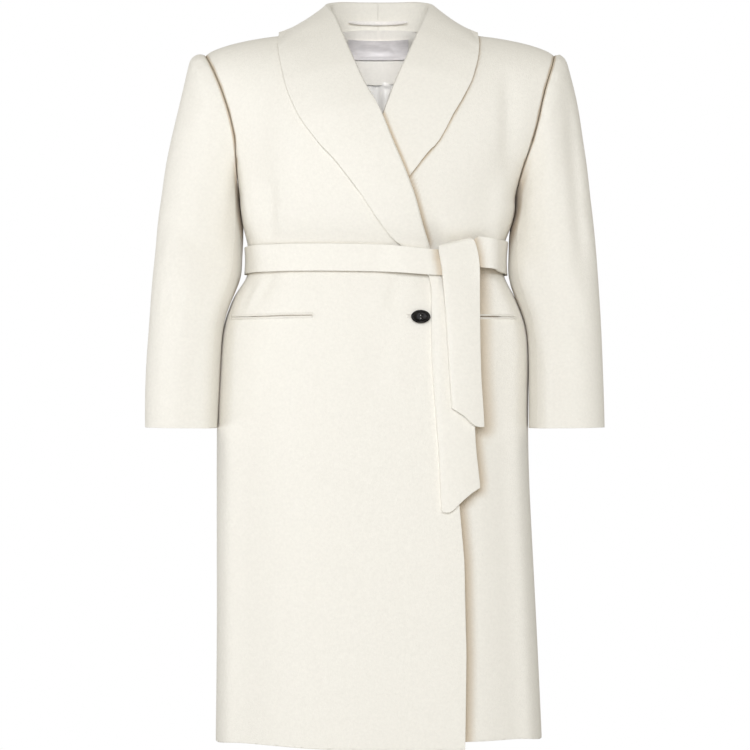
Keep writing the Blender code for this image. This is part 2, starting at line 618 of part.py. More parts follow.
def lapel_section(row, lift):
    """The lapel: its facing turned in behind the front, the roll, and the fall on the front."""
    roll_x, roll_z, turn = row["roll_x"], row["roll_z"], row["turn"]
    run = Vector((row["edge_x"] - roll_x, 0, row["edge_z"] - roll_z))
    ahead = run.normalized()
    outer = LAY + COATING + NECK_SPRING * (1 - smooth((-roll_z - 0.03) / 0.09))
    inner = -COATING - TURN_AIR - COATING
    radius, middle = (outer - inner) / 2, (outer + inner) / 2

    def place(distance, out):
        x, z = roll_x + ahead.x * distance, roll_z + ahead.z * distance
        return on_body("front", x, z, out + lift(x, z))

    half = math.sqrt(0.5) * radius
    section = [place(turn, inner), place((turn + radius) / 2, inner), place(radius, inner),
               place(radius - half, middle - half), place(0, middle),
               place(radius - half, middle + half), place(radius, outer)]
    for step in range(1, 5):
        share = step / 4
        distance = radius + (run.length - radius) * share
        section.append(place(distance, outer + LAPEL_SPRING * math.sin(math.pi * share)))
    return section


def between(sections, steps_between):
    """Catmull-Rom rows from one section to the next."""
    rows = []
    last = len(sections) - 1
    for at, steps in enumerate(steps_between):
        before, here = sections[max(at - 1, 0)], sections[at]
        after, beyond = sections[at + 1], sections[min(at + 2, last)]
        for step in range(steps):
            t = step / steps
            rows.append([0.5 * (2 * b + (c - a) * t + (2 * a - 5 * b + 4 * c - d) * t * t
                                + (3 * b - a - 3 * c + d) * t ** 3)
                         for a, b, c, d in zip(before, here, after, beyond)])
    rows.append(sections[last])
    return rows


def build_collar(side, stands, lapels, lift):
    """Half of the shawl collar, from the centre back seam to its end under the belt."""
    sign = -1 if side == "right" else 1
    sections = [stand_section(row) for row in stands]
    sections += [lapel_section(row, lift) for row in lapels]
    points = between(sections, COLLAR_STEPS)
    normals = point_normals(points)
    if normals[0][4].z < 0:
        normals = [[-normal for normal in line] for line in normals]
    normals[0] = [Vector((0, normal.y, normal.z)).normalized() for normal in normals[0]]
    for point in points[0]:
        point.x = sign * SEAM / 2
    add_wall("collar_" + side, points, offset(points, normals, -COATING), WOOL_COLLAR)


def armhole_ring(sign, side, angle):
    """A place on the armhole, by the angle round the sleeve from its outer line."""
    rise = (1 + math.cos(angle)) / 2
    face = "front" if math.sin(angle) >= 0 else "back"
    x = sign * reach(sign, face, rise)
    z = UNDERARM_Z + rise * (shoulder_z(x) - UNDERARM_Z)
    return Vector((x, -ARMHOLE_DEPTH * math.sin(angle), z))


def sleeve_ring(sign, row, angle):
    outer = Vector((sign * row["outer_x"], -row["forward"], row["outer_z"]))
    inner = Vector((sign * row["inner_x"], -row["forward"], row["inner_z"]))
    middle = (outer + inner) / 2
    forward = Vector((0, -row["depth"], 0))
    share = max(math.cos(angle - math.radians(TUCK_ANGLE)), 0.0) ** TUCK_SPREAD
    tuck = Vector((-sign * row["tuck"] * share, 0, 0))
    return middle + (outer - middle) * math.cos(angle) + forward * math.sin(angle) + tuck


def build_sleeve(side, rows):
    """A top sleeve and an under sleeve, cut from one tube at their two seams."""
    sign = -1 if side == "right" else 1
    top = [math.radians(FOREARM_SEAM + (HIND_SEAM - FOREARM_SEAM) * step / TOP_SLEEVE_STRIPS)
           for step in range(TOP_SLEEVE_STRIPS + 1)]
    under = [math.radians(HIND_SEAM + (FOREARM_SEAM - 360 - HIND_SEAM) * step / UNDER_SLEEVE_STRIPS)
             for step in range(1, UNDER_SLEEVE_STRIPS)]
    angles = top + under
    count = len(angles)
    rings = []
    for at, row in enumerate(rows):
        keep = SLEEVE_SETTLE[at] if at < len(SLEEVE_SETTLE) else 0.0
        ring = []
        for angle in angles:
            point = sleeve_ring(sign, row, angle)
            point += (armhole_ring(sign, side, angle) - sleeve_ring(sign, rows[0], angle)) * keep
            ring.append(point)
        rings.append(ring)
    rings[0] = [point + (beyond - point).normalized() * ARMHOLE_SEAM
                for point, beyond in zip(rings[0], rings[1])]
    wrapped = [[ring[-1]] + ring + ring[:1] for ring in rings]
    normals = [line[1:-1] for line in point_normals(wrapped)]
    centre = sum(rings[-1], Vector()) / count
    if normals[-1][0].dot(rings[-1][0] - centre) < 0:
        normals = [[-normal for normal in line] for line in normals]
    seam_top = TOP_SLEEVE_STRIPS
    strips = {"top_sleeve_": list(range(seam_top + 1)),
              "under_sleeve_": list(range(seam_top, count)) + [0]}
    for name, columns in strips.items():
        outside, inside = [], []
        for ring, line in zip(rings, normals):
            points = [ring[column].copy() for column in columns]
            directions = [line[column] for column in columns]
            points[0] += (points[1] - points[0]).normalized() * SEAM / 2
            points[-1] += (points[-2] - points[-1]).normalized() * SEAM / 2
            outside.append(points)
            inside.append([p - n * COATING for p, n in zip(points, directions)])
        add_wall(name + side, outside, inside, WOOL)


def waist_point(turn, z):
    """A place on the body at a height, by the angle round it from the centre front."""
    angle = math.radians(turn)
    face = "front" if math.cos(angle) >= 0 else "back"
    level = z - UNDERARM_Z
    side = math.sin(angle)
    width = reach(side, face, level) * unit_width(angle)
    length = depth(face, level) * unit_width(math.pi / 2 - angle)
    return Vector((math.copysign(width, side), -length if face == "front" else length, z))


def build_belt_wrap():
    """The belt round the waist. Its two ends meet inside the knot."""
    centre_at = track(BELT_RUN, "turn", "z")
    half_at = track(BELT_RUN, "turn", "half")
    cover_at = track(BELT_COVER, "x", "out")
    outside, inside = [], []
    for share, crown in ((-1, 1), (0, 0), (1, 1)):
        line, back = [], []
        for turn in BELT_TURNS:
            z = centre_at(turn) + share * half_at(turn)
            point = waist_point(turn, z)
            ahead = waist_point(turn + 1, z) - waist_point(turn - 1, z)
            normal = Vector((ahead.y, -ahead.x, 0)).normalized()
            if normal.dot(Vector((point.x, point.y, 0))) < 0:
                normal = -normal
            cover = cover_at(point.x) if point.y < 0 else LAY
            line.append(point + normal * (cover + BELT_COATING - BELT_CROWN * crown))
            back.append(point + normal * cover)
        outside.append(line)
        inside.append(back)
    add_wall("belt_wrap", outside, inside, WOOL_BELT)


def build_belt_ends():
    """The two free ends that hang from the knot, one over the other."""
    across = [step / BELT_END_STRIPS for step in range(BELT_END_STRIPS + 1)]

    def end_x(rows, z, share):
        left, right = track(rows, "z", "left")(z), track(rows, "z", "right")(z)
        return left + (right - left) * share

    lower_tip = track(LOWER_END_TIP, "across", "z")
    rows = 14
    points, normals = [], []
    for row in range(rows + 1):
        line, directions = [], []
        for share in across:
            z = LOWER_END_TOP + (lower_tip(share) - LOWER_END_TOP) * (row / rows)
            x = end_x(LOWER_END, z, share)
            out = overlap_at(z) + LAY + BELT_END_COATING
            line.append(in_front(x, z, out))
            directions.append(body_normal("front", x, level_of(x, z)))
        points.append(line)
        normals.append(directions)
    add_wall("belt_lower_end", points, offset(points, normals, -BELT_END_COATING), WOOL_BELT)

    upper_tip = track(UPPER_END_TIP, "across", "z")
    out_at = track(UPPER_END_RUN, "z", "out")
    first = UPPER_END_RUN[0]["z"]
    rows = 12
    points = []
    for hook in UPPER_END_HOOK:
        line = []
        for share in across:
            top = UPPER_END_TOP_LEFT + (UPPER_END_TOP_RIGHT - UPPER_END_TOP_LEFT) * share
            z = top + hook["up"]
            left = UPPER_END[0]["left"]
            line.append(in_front(left + (hook["right"] - left) * share, z, hook["out"]))
        points.append(line)
    for row in range(rows + 1):
        line = []
        for share in across:
            z = first + (upper_tip(share) - first) * (row / rows)
            line.append(in_front(end_x(UPPER_END, z, share), z, out_at(z)))
        points.append(line)
    normals = point_normals(points)
    if normals[-1][0].y > 0:
        normals = [[-normal for normal in line] for line in normals]
    add_wall("belt_upper_end", points, offset(points, normals, -BELT_END_COATING), WOOL_BELT)


def build_pocket_lips():
    """Two narrow lips over and under each pocket's slot."""
    columns = 16
    for pocket in POCKETS:
        sign = -1 if pocket["side"] == "right" else 1
        for place, low in (("upper", POCKET_SLOT_Z + SEAM), ("lower", POCKET_SLOT_Z - SEAM - LIP_HEIGHT)):
            outside, inside = [], []
            for z in (low, low + LIP_HEIGHT):
                line, back = [], []
                for column in range(columns + 1):
                    x = sign * (pocket["near"] + (pocket["far"] - pocket["near"]) * column / columns)
                    lift = overlap(x, z) if sign < 0 else 0.0
                    line.append(on_body("front", x, z, lift + LIP_OUT))
                    back.append(on_body("front", x, z, lift + LIP_OUT - LIP_WALL))
                outside.append(line)
                inside.append(back)
            add_wall("pocket_%s_lip_%s" % (place, pocket["side"]), outside, inside, WOOL)


def build_button():
    """An oval two-hole button with a raised rim, and the stitched buttonhole behind it."""
    x, z = BUTTON_AT
    seat = on_body("front", x, z, overlap(x, z))
    normal = body_normal("front", x, level_of(x, z))
    turn = normal.to_track_quat("Z", "Y").to_matrix()
    mesh = bmesh.new()
    profile = ((0.0, 0.62), (0.60, 0.62), (0.74, 0.95), (0.88, 1.0), (0.97, 0.85), (1.0, 0.5),
               (0.96, 0.14), (0.84, 0.0), (0.0, 0.0))
    line = [mesh.verts.new((wide, 0, high * BUTTON_THICK)) for wide, high in profile]
    edges = [mesh.edges.new(pair) for pair in zip(line, line[1:])]
    bmesh.ops.spin(mesh, geom=line + edges, cent=(0, 0, 0), axis=(0, 0, 1), angle=math.tau,
                   steps=22, use_merge=True)
    bmesh.ops.remove_doubles(mesh, verts=mesh.verts, dist=0.00001)
    for vert in mesh.verts:
        flat = Vector((vert.co.x * BUTTON_SIZE[0] / 2, vert.co.y * BUTTON_SIZE[1] / 2, vert.co.z))
        flat.z += BUTTON_STANDS_OFF
        vert.co = seat + turn @ flat
    button = add_object("button", mesh, BUTTON_HORN, 0.25)
    for way in (-1, 1):
        cutter = bmesh.new()
        bmesh.ops.create_cone(cutter, cap_ends=True, segments=10, radius1=BUTTON_HOLE,
                              radius2=BUTTON_HOLE, depth=4 * BUTTON_THICK)
        for vert in cutter.verts:
            vert.co = seat + turn @ (vert.co + Vector((0, way * BUTTON_HOLE_APART / 2, 0)))
        tool = add_object("button_hole_cutter_%d" % (way + 1), cutter, BUTTON_HORN, 0.25)
        tool.hide_render = True
        tool.display_type = "WIRE"
        cut = button.modifiers.new("hole", "BOOLEAN")
        cut.operation = "DIFFERENCE"
        cut.solver = "EXACT"
        cut.object = tool

    x, z = BUTTONHOLE_AT
    seat = on_body("front", x, z, overlap(x, z) + BUTTONHOLE_BEAD + SEAM)
    normal = body_normal("front", x, level_of(x, z))
    along = Vector((1, 0, 0))
    along = (along - normal * along.dot(normal)).normalized()
    rise = normal.cross(along)
    path = []
    for way in (1, -1):
        for degrees in (-90, -45, 0, 45, 90):
            angle = math.radians(degrees)
            flat = along * way * (BUTTONHOLE_HALF - BUTTONHOLE_GAP + BUTTONHOLE_GAP * math.cos(angle))
            path.append(seat + flat + rise * way * BUTTONHOLE_GAP * math.sin(angle))
    add_tube("buttonhole", path, BUTTONHOLE_BEAD, 5, WOOL, normal, closed=True)


def facing_low(x):
    return FACING_LOW + (FACING_LOW_SIDE - FACING_LOW) * (abs(x) / FACING_HALF) ** 2


def facing_point(x, z, out):
    """On the facing: it starts flush with the collar's stand and settles over the lining."""
    stand = RIGHT_STAND if x < 0 else LEFT_STAND
    top_y, top_z = track(stand, "in_x", "in_y")(x), track(stand, "in_x", "in_z")(x)
    air = FACING_AIR + (FACING_AIR_SIDE - FACING_AIR) * (abs(x) / FACING_HALF) ** 2
    level = level_of(x, z)
    behind = (COATING + air + FACING) / max(body_normal("back", x, level).y, 0.6)
    y = body_point("back", x, level).y - behind
    settled = smooth((top_z - z) / FACING_SETTLE)
    return Vector((x, top_y + (y - top_y) * settled - out, z))


def build_neck_inside():
    """Back neck facing, lining, label and hanger loop."""
    columns, rows = 14, 5
    outside, inside = [], []
    for row in range(rows + 1):
        line, back = [], []
        for column in range(columns + 1):
            x = FACING_HALF * (2 * column / columns - 1)
            top = track(RIGHT_STAND if x < 0 else LEFT_STAND, "in_x", "in_z")(x) - FACING_SEAM
            z = top + (facing_low(x) - top) * row / rows
            line.append(facing_point(x, z, 0))
            back.append(facing_point(x, z, -FACING))
        outside.append(line)
        inside.append(back)
    add_wall("back_neck_facing", outside, inside, WOOL_FACING)

    low, high = LABEL_BOX
    outside, inside = [], []
    for row in range(3):
        line, back = [], []
        for column in range(9):
            x = low["x"] + (high["x"] - low["x"]) * column / 8
            z = low["z"] + (high["z"] - low["z"]) * row / 2
            line.append(facing_point(x, z, LABEL_AIR + SATIN))
            back.append(facing_point(x, z, LABEL_AIR))
        outside.append(line)
        inside.append(back)
    add_wall("label", outside, inside, LABEL_CLOTH, 0.5)

    outside, inside = [], []
    for level in LEVELS[1:-1]:
        line, back = [], []
        for turn in LINING_TURNS:
            x = x_at(math.radians(turn), "back", level)
            here = level
            if level > LINING_FULL_LEVEL:
                tuck = 1 - smooth((abs(x) - 0.055) / 0.045)
                here -= (level - LINING_FULL_LEVEL) * LINING_TUCK * tuck
            pleat = PLEAT_RISE * smooth((x + 0.004) / 0.020) * (1 - smooth((x - 0.018) / 0.005))
            pleat *= 1 - smooth((here - 0.60) / 0.08)
            pleat += SIDE_AIR * smooth((abs(turn) - 78) / 9)
            point = body_point("back", x, here)
            normal = body_normal("back", x, here)
            line.append(point - normal * (COATING + LINING_AIR + SATIN + pleat))
            back.append(point - normal * (COATING + LINING_AIR + pleat))
        outside.append(line)
        inside.append(back)
    add_wall("back_lining", outside, inside, LINING_CLOTH, 0.35)

    path = []
    for step in range(-6, 7):
        x = LOOP_HALF * step / 6
        path.append(Vector((x, LOOP_Y - LOOP_BOW * (abs(x) / LOOP_HALF) ** 2.2, LOOP_Z)))
    add_tube("hanger_loop", path, LOOP_RADIUS, 6, WOOL_BELT, Vector((0, 0, 1)))


def main():
    for old in list(bpy.data.objects):
        bpy.data.objects.remove(old)
    build_body()
    build_sleeve("right", RIGHT_SLEEVE)
    build_sleeve("left", LEFT_SLEEVE)
    build_collar("right", RIGHT_STAND, RIGHT_LAPEL, overlap)
    build_collar("left", LEFT_STAND, LEFT_LAPEL, lambda x, z: 0.0)
    build_belt_wrap()
    build_belt_ends()
    build_pocket_lips()
    build_button()
    build_neck_inside()


main()
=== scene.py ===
"""The finish of a long wrap coat in thick napped wool: cloth, stitches, button and stage.

Every piece is a finer copy of one wall of the frame, or is modelled here beside it, and takes
its place. +X is the wearer's left, -Y the front and +Z up. Every size is in metres.
"""

import math

import bmesh
import bpy
import numpy as np
from bpy.props import FloatProperty, FloatVectorProperty, IntProperty, PointerProperty
from mathutils import Matrix, Vector
from mathutils.bvhtree import BVHTree


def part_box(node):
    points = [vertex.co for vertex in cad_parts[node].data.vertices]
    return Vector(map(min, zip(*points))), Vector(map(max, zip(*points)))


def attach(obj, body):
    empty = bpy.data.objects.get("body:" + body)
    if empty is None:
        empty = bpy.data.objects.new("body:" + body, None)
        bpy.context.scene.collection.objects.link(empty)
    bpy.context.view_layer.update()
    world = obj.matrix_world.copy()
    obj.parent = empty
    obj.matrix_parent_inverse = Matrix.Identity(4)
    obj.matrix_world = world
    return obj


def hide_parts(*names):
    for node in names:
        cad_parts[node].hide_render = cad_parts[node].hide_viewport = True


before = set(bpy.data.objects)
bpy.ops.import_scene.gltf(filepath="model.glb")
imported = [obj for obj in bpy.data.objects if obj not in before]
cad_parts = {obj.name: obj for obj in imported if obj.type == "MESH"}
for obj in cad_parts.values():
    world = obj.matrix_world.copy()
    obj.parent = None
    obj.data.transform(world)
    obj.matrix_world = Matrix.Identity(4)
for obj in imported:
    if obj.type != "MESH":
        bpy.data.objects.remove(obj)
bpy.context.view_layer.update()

bl_info = {
    "name": "Wrap coat",
    "version": (1, 0, 0),
    "blender": (4, 5, 0),
    "location": "3D View > Sidebar > Coat",
    "description": "Dresses the walls of a wrap coat in napped wool, with its belt and button",
    "category": "Object",
}

BODY = "root"
MERGE = 0.00002            # corners of the frame's loose triangles closer than this are one
JOIN_ANGLES = dict(face=math.radians(25), shape=math.radians(60))
RIM_ANGLE = math.radians(50)
RIM_SEGMENTS = 2
PASSES = 3                 # rounds that bring a smoothed wall back onto its corners
EDGE_REACH = 0.0014        # how far from the frame's wall the finer one may lie


def table(columns, *rows):
    """Rows with named columns."""
    names = columns.split()
    return [dict(zip(names, row)) for row in rows]


# ---- folds ----
FOLD_FADE = 0.35           # the share of a fold's length over which each end dies away
# Each runs from (x0, z0) to (x1, z1) as seen from the front, bowed sideways in its middle.
# width is half its breadth, and out is how far it stands out, or how deep it is below zero.
FRONT_FOLDS = table("x0      z0       x1      z1       bow     width   out",
                    (-0.150, -0.215, -0.150, -0.318, 0.000, 0.008, -0.0024),
                    (-0.137, -0.230, -0.136, -0.318, 0.000, 0.009, 0.0012),
                    (-0.168, -0.352, -0.203, -0.430, 0.002, 0.008, -0.0026),
                    (-0.140, -0.352, -0.172, -0.402, 0.002, 0.008, -0.0022),
                    (-0.154, -0.352, -0.188, -0.410, 0.002, 0.007, 0.0012),
                    (-0.090, -0.350, -0.086, -0.385, 0.000, 0.009, -0.0010),
                    (0.029, -0.345, 0.020, -0.420, 0.003, 0.009, -0.0026),
                    (0.048, -0.350, 0.050, -0.392, 0.000, 0.012, 0.0014),
                    (0.066, -0.350, 0.070, -0.400, 0.000, 0.008, -0.0014),
                    (0.020, -0.390, -0.010, -0.560, 0.004, 0.022, -0.0016),
                    (0.186, -0.050, 0.182, -0.230, -0.004, 0.015, -0.0062),
                    (-0.070, -0.225, -0.078, -0.318, 0.003, 0.020, -0.0010))
BACK_FOLDS = table("x0      z0       x1      z1       bow     width   out",
                   (-0.110, -0.220, -0.100, -0.318, 0.003, 0.014, -0.0030),
                   (-0.070, -0.235, -0.066, -0.318, 0.000, 0.012, 0.0018),
                   (0.060, -0.215, 0.055, -0.318, 0.002, 0.013, -0.0026),
                   (0.105, -0.230, 0.108, -0.318, -0.002, 0.013, 0.0018),
                   (-0.085, -0.352, -0.105, -0.450, 0.002, 0.014, -0.0028),
                   (0.080, -0.352, 0.094, -0.440, 0.002, 0.013, -0.0026),
                   (-0.030, -0.352, -0.036, -0.470, 0.002, 0.016, 0.0020),
                   (0.150, -0.100, 0.128, -0.220, 0.004, 0.018, -0.0022),
                   (-0.155, -0.100, -0.132, -0.220, -0.004, 0.018, -0.0022))
# Only the left front: fuller where the chest runs in under the belt, and let in under the
# right front's edge.
LEFT_FRONT_FOLDS = table("x0      z0       x1      z1       bow     width   out    fade",
                         (0.068, -0.306, 0.182, -0.306, 0.000, 0.028, 0.0120, 0.25),
                         (0.116, -0.300, 0.126, -1.060, 0.004, 0.015, -0.0050, 0.12))
# Only the right front and what hangs on it: its edge stands a little open below the belt.
RIGHT_FRONT_FOLDS = table("x0      z0       x1      z1       bow     width   out    fade",
                          (0.128, -0.350, 0.134, -1.350, 0.000, 0.050, 0.0070, 0.12))
# Only the belt's free ends: the left edge of each is pressed thinner than its middle.
BELT_END_FOLDS = table("x0      z0       x1      z1       bow     width   out     fade",
                       (0.0880, -0.330, 0.1025, -0.560, -0.0008, 0.0048, -0.0016, 0.05),
                       (0.0740, -0.340, 0.0925, -0.710, 0.0033, 0.0048, -0.0016, 0.05))
LEFT_SLEEVE_FOLDS = table("x0      z0       x1      z1       bow     width   out",
                          (0.269, -0.050, 0.294, -0.400, 0.000, 0.0115, -0.0076),
                          (0.241, -0.050, 0.243, -0.370, 0.000, 0.0120, 0.0024),
                          (0.262, -0.360, 0.300, -0.470, 0.003, 0.0140, -0.0022))
RIGHT_SLEEVE_FOLDS = table("x0      z0       x1      z1       bow     width   out",
                           (-0.262, -0.330, -0.305, -0.430, 0.003, 0.0160, -0.0020),
                           (-0.228, -0.120, -0.236, -0.250, 0.002, 0.0140, -0.0012))
LINING_FOLDS = table("x0      z0       x1      z1       bow     width   out",
                     (-0.003, -0.020, 0.003, -0.240, 0.000, 0.0050, -0.0030),
                     (0.010, -0.020, 0.014, -0.260, 0.002, 0.0070, 0.0048),
                     (-0.030, -0.030, -0.036, -0.230, 0.002, 0.0090, 0.0030),
                     (0.004, -0.069, 0.022, -0.070, 0.001, 0.0028, 0.0030))
LABEL_FOLDS = table("x0      z0       x1      z1       bow     width   out",
                    (-0.022, -0.0215, 0.026, -0.0225, 0.001, 0.0030, -0.0010),
                    (-0.034, -0.0150, 0.012, -0.0135, -0.001, 0.0026, 0.0008),
                    (0.014, -0.0100, 0.030, -0.0300, 0.001, 0.0026, 0.0007),
                    (-0.038, -0.0300, 0.036, -0.0295, 0.000, 0.0022, 0.0008))

# How far out each side of the body reaches at each height, and where each sleeve's inner edge is.
BODY_SIDES = table("z        right   left",
                   (-0.240, 0.2007, 0.1990), (-0.293, 0.1936, 0.1902), (-0.309, 0.1895, 0.1835),
                   (-0.335, 0.1865, 0.1800), (-0.355, 0.1885, 0.1818), (-0.381, 0.2045, 0.1945),
                   (-0.421, 0.2218, 0.2122), (-0.457, 0.2276, 0.2180), (-0.500, 0.2300, 0.2184),
                   (-0.576, 0.2334, 0.2170), (-0.740, 0.2335, 0.2233), (-0.885, 0.2335, 0.2306),
                   (-1.022, 0.2350, 0.2370))
SLEEVE_SIDES = table("z        right   left",
                     (-0.330, 0.196, 0.186), (-0.360, 0.200, 0.190), (-0.420, 0.219, 0.209),
                     (-0.480, 0.225, 0.219), (-0.575, 0.230, 0.221))
# The cloth is fuller just inside those edges: how far in, how broad, how far forward and from
# which height down.
BODY_FULLNESS = dict(inside=0.014, width=0.020, out=0.016, top=-0.200, soft=0.05)
SLEEVE_FULLNESS = dict(inside=0.012, width=0.016, out=0.010, top=-0.290, soft=0.07)
FULLNESS_START = dict(depth=0.012, soft=0.035)       # how far before the sides it begins
BODY_OVAL = dict(half_width=0.22, half_depth=0.15)   # the oval that says which way is out
# A sleeve's folds die away over soft towards its sides, and are weaker behind.
SLEEVE_TURN = dict(soft=0.03, back=0.01, back_share=0.6)
LINING_BACK = 0.05         # the lining's folds are only where it lies behind this


# ---- painted shade in creases and under layers ----
# The painted brown shade in the crease beside another piece, standing in for the shade there:
# full at close and none at far, as strong as it says, from the highest down to the lowest place.
PAINTED_SHADE_REACH = 0.03        # how far away the other piece is looked for
# The colour that the painted shade multiplies into the wool.
PAINTED_SHADE_TINT = (0.62, 0.50, 0.36)
PAINTED_SHADE_SOFT = 0.02         # the height over which the painted shade begins and ends
PAINTED_SHADE_SPREAD = 5          # and how many times its breadth that is for a broad one
PAINTED_SHADE_TOP = 0.1           # above the whole coat
# Two pieces that meet at a seam, each given painted shade along the other.
SEAM_PAINTED_SHADES = table("one other close far strength lowest",
                     ("back_right", "back_left", 0.0006, 0.0030, 0.7, -1.2),
                     ("pocket_upper_lip_right", "pocket_lower_lip_right",
                      0.0005, 0.0018, 0.35, -1.2),
                     ("pocket_upper_lip_left", "pocket_lower_lip_left",
                      0.0005, 0.0020, 1.0, -1.2))
ARMHOLE_PAINTED_SHADES = table("panel close far strength lowest",
                        ("front_", 0.0012, 0.0050, 0.85, -0.250),
                        ("back_", 0.0010, 0.0042, 0.80, -0.262))
SLEEVES = ("top_sleeve_", "under_sleeve_")
# Where over is 0 the other piece lies beside the piece, and the crease's shade is painted. Where
# it is 1 it lies over the piece's front, and its shadow is painted by how far away it is as seen
# from the front.
PAINTED_SHADES = table("piece beside over close far strength highest lowest",
                ("front_left", "collar_left", 0, 0.0010, 0.0058, 1.0, PAINTED_SHADE_TOP, -0.4),
                ("front_left", "collar_right", 1, 0.0020, 0.0085, 0.75, PAINTED_SHADE_TOP, -0.33),
                ("front_left", "front_right", 1, 0.0035, 0.0200, 0.72, -0.33, -1.2),
                ("front_left", "belt_upper_end", 1, 0.0030, 0.0260, 0.66, -0.33, -1.2),
                ("front_left", "belt_lower_end", 1, 0.0020, 0.0180, 0.70, -0.33, -1.2),
                ("front_left", "belt_wrap", 1, 0.0006, 0.0042, 0.50, -0.33, -1.2),
                ("front_right", "belt_wrap", 1, 0.0006, 0.0034, 0.30, -0.33, -1.2),
                ("collar_left", "collar_right", 1, 0.0014, 0.0062, 0.80, -0.02, -0.4),
                ("belt_wrap", "belt_upper_end", 1, 0.0006, 0.0130, 0.7, -0.2, -0.5),
                ("under_sleeve_right", "front_right", 0, 0.0030, 0.0120, 0.9, -0.18, -0.64),
                ("top_sleeve_right", "front_right", 0, 0.0030, 0.0100, 0.8, -0.18, -0.64),
                ("under_sleeve_left", "front_left", 0, 0.0060, 0.0180, 0.9, -0.18, -0.38),
                ("under_sleeve_left", "front_left", 0, 0.0030, 0.0110, 0.9, -0.34, -0.64),
                ("top_sleeve_left", "front_left", 0, 0.0060, 0.0160, 0.9, -0.18, -0.38),
                ("top_sleeve_left", "front_left", 0, 0.0030, 0.0110, 0.9, -0.34, -0.64))

# ---- button, buttonhole and loop ----
BUTTON_SHIFT = (-0.0010, 0.0, -0.0012)      # from the frame's button to where it hangs
BUTTON_CENTRE = (0.0582, -0.4200)           # x and z, midway between its two holes
BUTTON_HOLES_APART = 0.0048
# Where the thread shows at each hole: high is a share of the distance between the holes.
THREADS = table("aside deep high", (0.0, 0.0004, -0.5), (0.0008, 0.0010, 0.5))
THREAD_SIZE = (0.0009, 0.0007, 0.0006)
BEAD = dict(round=8, along=6)
# The buttonhole's slit is a dark bead sunk in the front: painted shade where the slit opens.
SLIT = dict(x=0.0512, z=-0.4189, half=0.0080, high=0.00055, deep=0.0005)
STITCHES = dict(count=34, aside=-0.0010, half=0.0105, gap=0.0017, out=0.0009, long=0.0011,
                thick=0.00024)
# blunt is how full the loop's ends are, and bend how late it curves back towards them.
LOOP = dict(half=0.0435, high=0.0031, deep=0.0013, z=0.0166, out=0.0016, blunt=0.45, bend=2.2,
            round=24, along=40)
# How round the edges of the smaller pieces are.
LIP_EDGE, BUTTON_EDGE, FACING_EDGE, SATIN_EDGE = 0.0004, 0.0001, 0.0005, 0.0003
LIP_SLOT_ROLL = 0.30       # the share of a lip's height that rolls over into the slot
LIP_SLOT_LOW = 0.45        # the share of a lip's thickness left at the slot
LIP_OUTER = 0.10           # and at its outer edge, where it is pressed into the front

# ---- looks ----
WOOL = dict(roughness=0.95, specular=0.15, sheen=0.25, sheen_roughness=0.55)
# Fine clouds between a dark and a light tone, each a share of the wool's colour, which are full
# at start and end in the clouds' range.
MOTTLE = dict(scale=240, detail=4, dark=0.972, light=1.016, start=0.30, end=0.70)
NAP = dict(scale=520, detail=5, roughness=0.65, strength=0.55)
CREASE_DIP = dict(strength=0.8, depth=0.0015)
SMOOTH_CLOUD = dict(detail=4, start=0.35, end=0.65, strength=0.5)
# The close surfaces: dark and light are shares of the colour, and grain says how fine they are
# along each axis.
SMOOTH_LOOKS = table("name dark light grain rough bump sheen specular",
                     ("loop", 0.97, 1.03, (300, 300, 300), 0.6, 0.0003, 0.2, 0.2),
                     ("lining", 0.955, 1.045, (220, 220, 12), 0.36, 0.0006, 0.3, 0.5),
                     ("label", 0.94, 1.06, (60, 60, 260), 0.42, 0.0003, 0.2, 0.5),
                     ("thread", 0.95, 1.05, (900, 900, 900), 0.6, 0.0002, 0.2, 0.5),
                     # The slit's dark tone is painted shade.
                     ("slit", 0.8, 1.2, (500, 500, 500), 0.9, 0.0002, 0.0, 0.1),
                     ("button", 0.4, 2.2, (90, 90, 260), 0.13, 0.00003, 0.0, 0.05))
BELT_NAP, FACING_NAP = 0.8, 0.4      # how high their nap is, as a share of the coat's

# ---- stage ----
COAT_MIDDLE = (0.0, 0.0, -0.5)
LAMP_DISTANCE = 4.4
# turn is degrees round from the front towards the wearer's left, rise is degrees up.
LAMPS = table("turn rise size  share",
              (0, 15, 2.05, 0.545), (-80, -15, 1.50, 0.240), (80, -15, 2.05, 0.114),
              (-80, 45, 2.05, 0.057), (-50, 45, 2.05, 0.029))
# A small lamp before the neck that shines into it.
NECK_LAMP = dict(place=(0.0, -0.20, 0.06), aim=(0.0, 0.090, -0.075), cone=math.radians(33),
                 colour=(1.0, 0.97, 0.91), size=0.02, blend=0.7)
FLOOR = dict(half=2.4, z=-1.45, dark=(0.84, 0.84, 0.84), light=(0.88, 0.88, 0.88),
             grain=(3, 3, 3), rough=0.9, bump=0.001)
CAMERA_X, CAMERA_Z = -0.00435, -0.50025


def smooth(share):
    """0 to 1 with a soft start and a soft end, for an array of places."""
    share = np.clip(share, 0.0, 1.0)
    return share * share * (3 - 2 * share)


def fold_field(points, folds):
    """How far the folds of one side stand out at each point."""
    flat = points[:, (0, 2)]
    total = np.zeros(len(points))
    for fold in folds:
        start = np.array((fold["x0"], fold["z0"]))
        run = np.array((fold["x1"], fold["z1"])) - start
        length = np.linalg.norm(run)
        ahead = run / length
        beside = np.array((ahead[1], -ahead[0]))
        along = (flat - start) @ ahead / length
        across = (flat - start) @ beside - fold["bow"] * 4 * along * (1 - along)
        fade = fold.get("fade", FOLD_FADE)
        ends = smooth(along / fade) * smooth((1 - along) / fade)
        total += fold["out"] * np.exp(-(across / fold["width"]) ** 2) * ends
    return total


def body_out(points):
    """The level direction straight out of the body at each point."""
    out = np.stack((points[:, 0] / BODY_OVAL["half_width"] ** 2,
                    points[:, 1] / BODY_OVAL["half_depth"] ** 2, np.zeros(len(points))), axis=1)
    return out / np.maximum(np.linalg.norm(out, axis=1), 1e-9)[:, None]


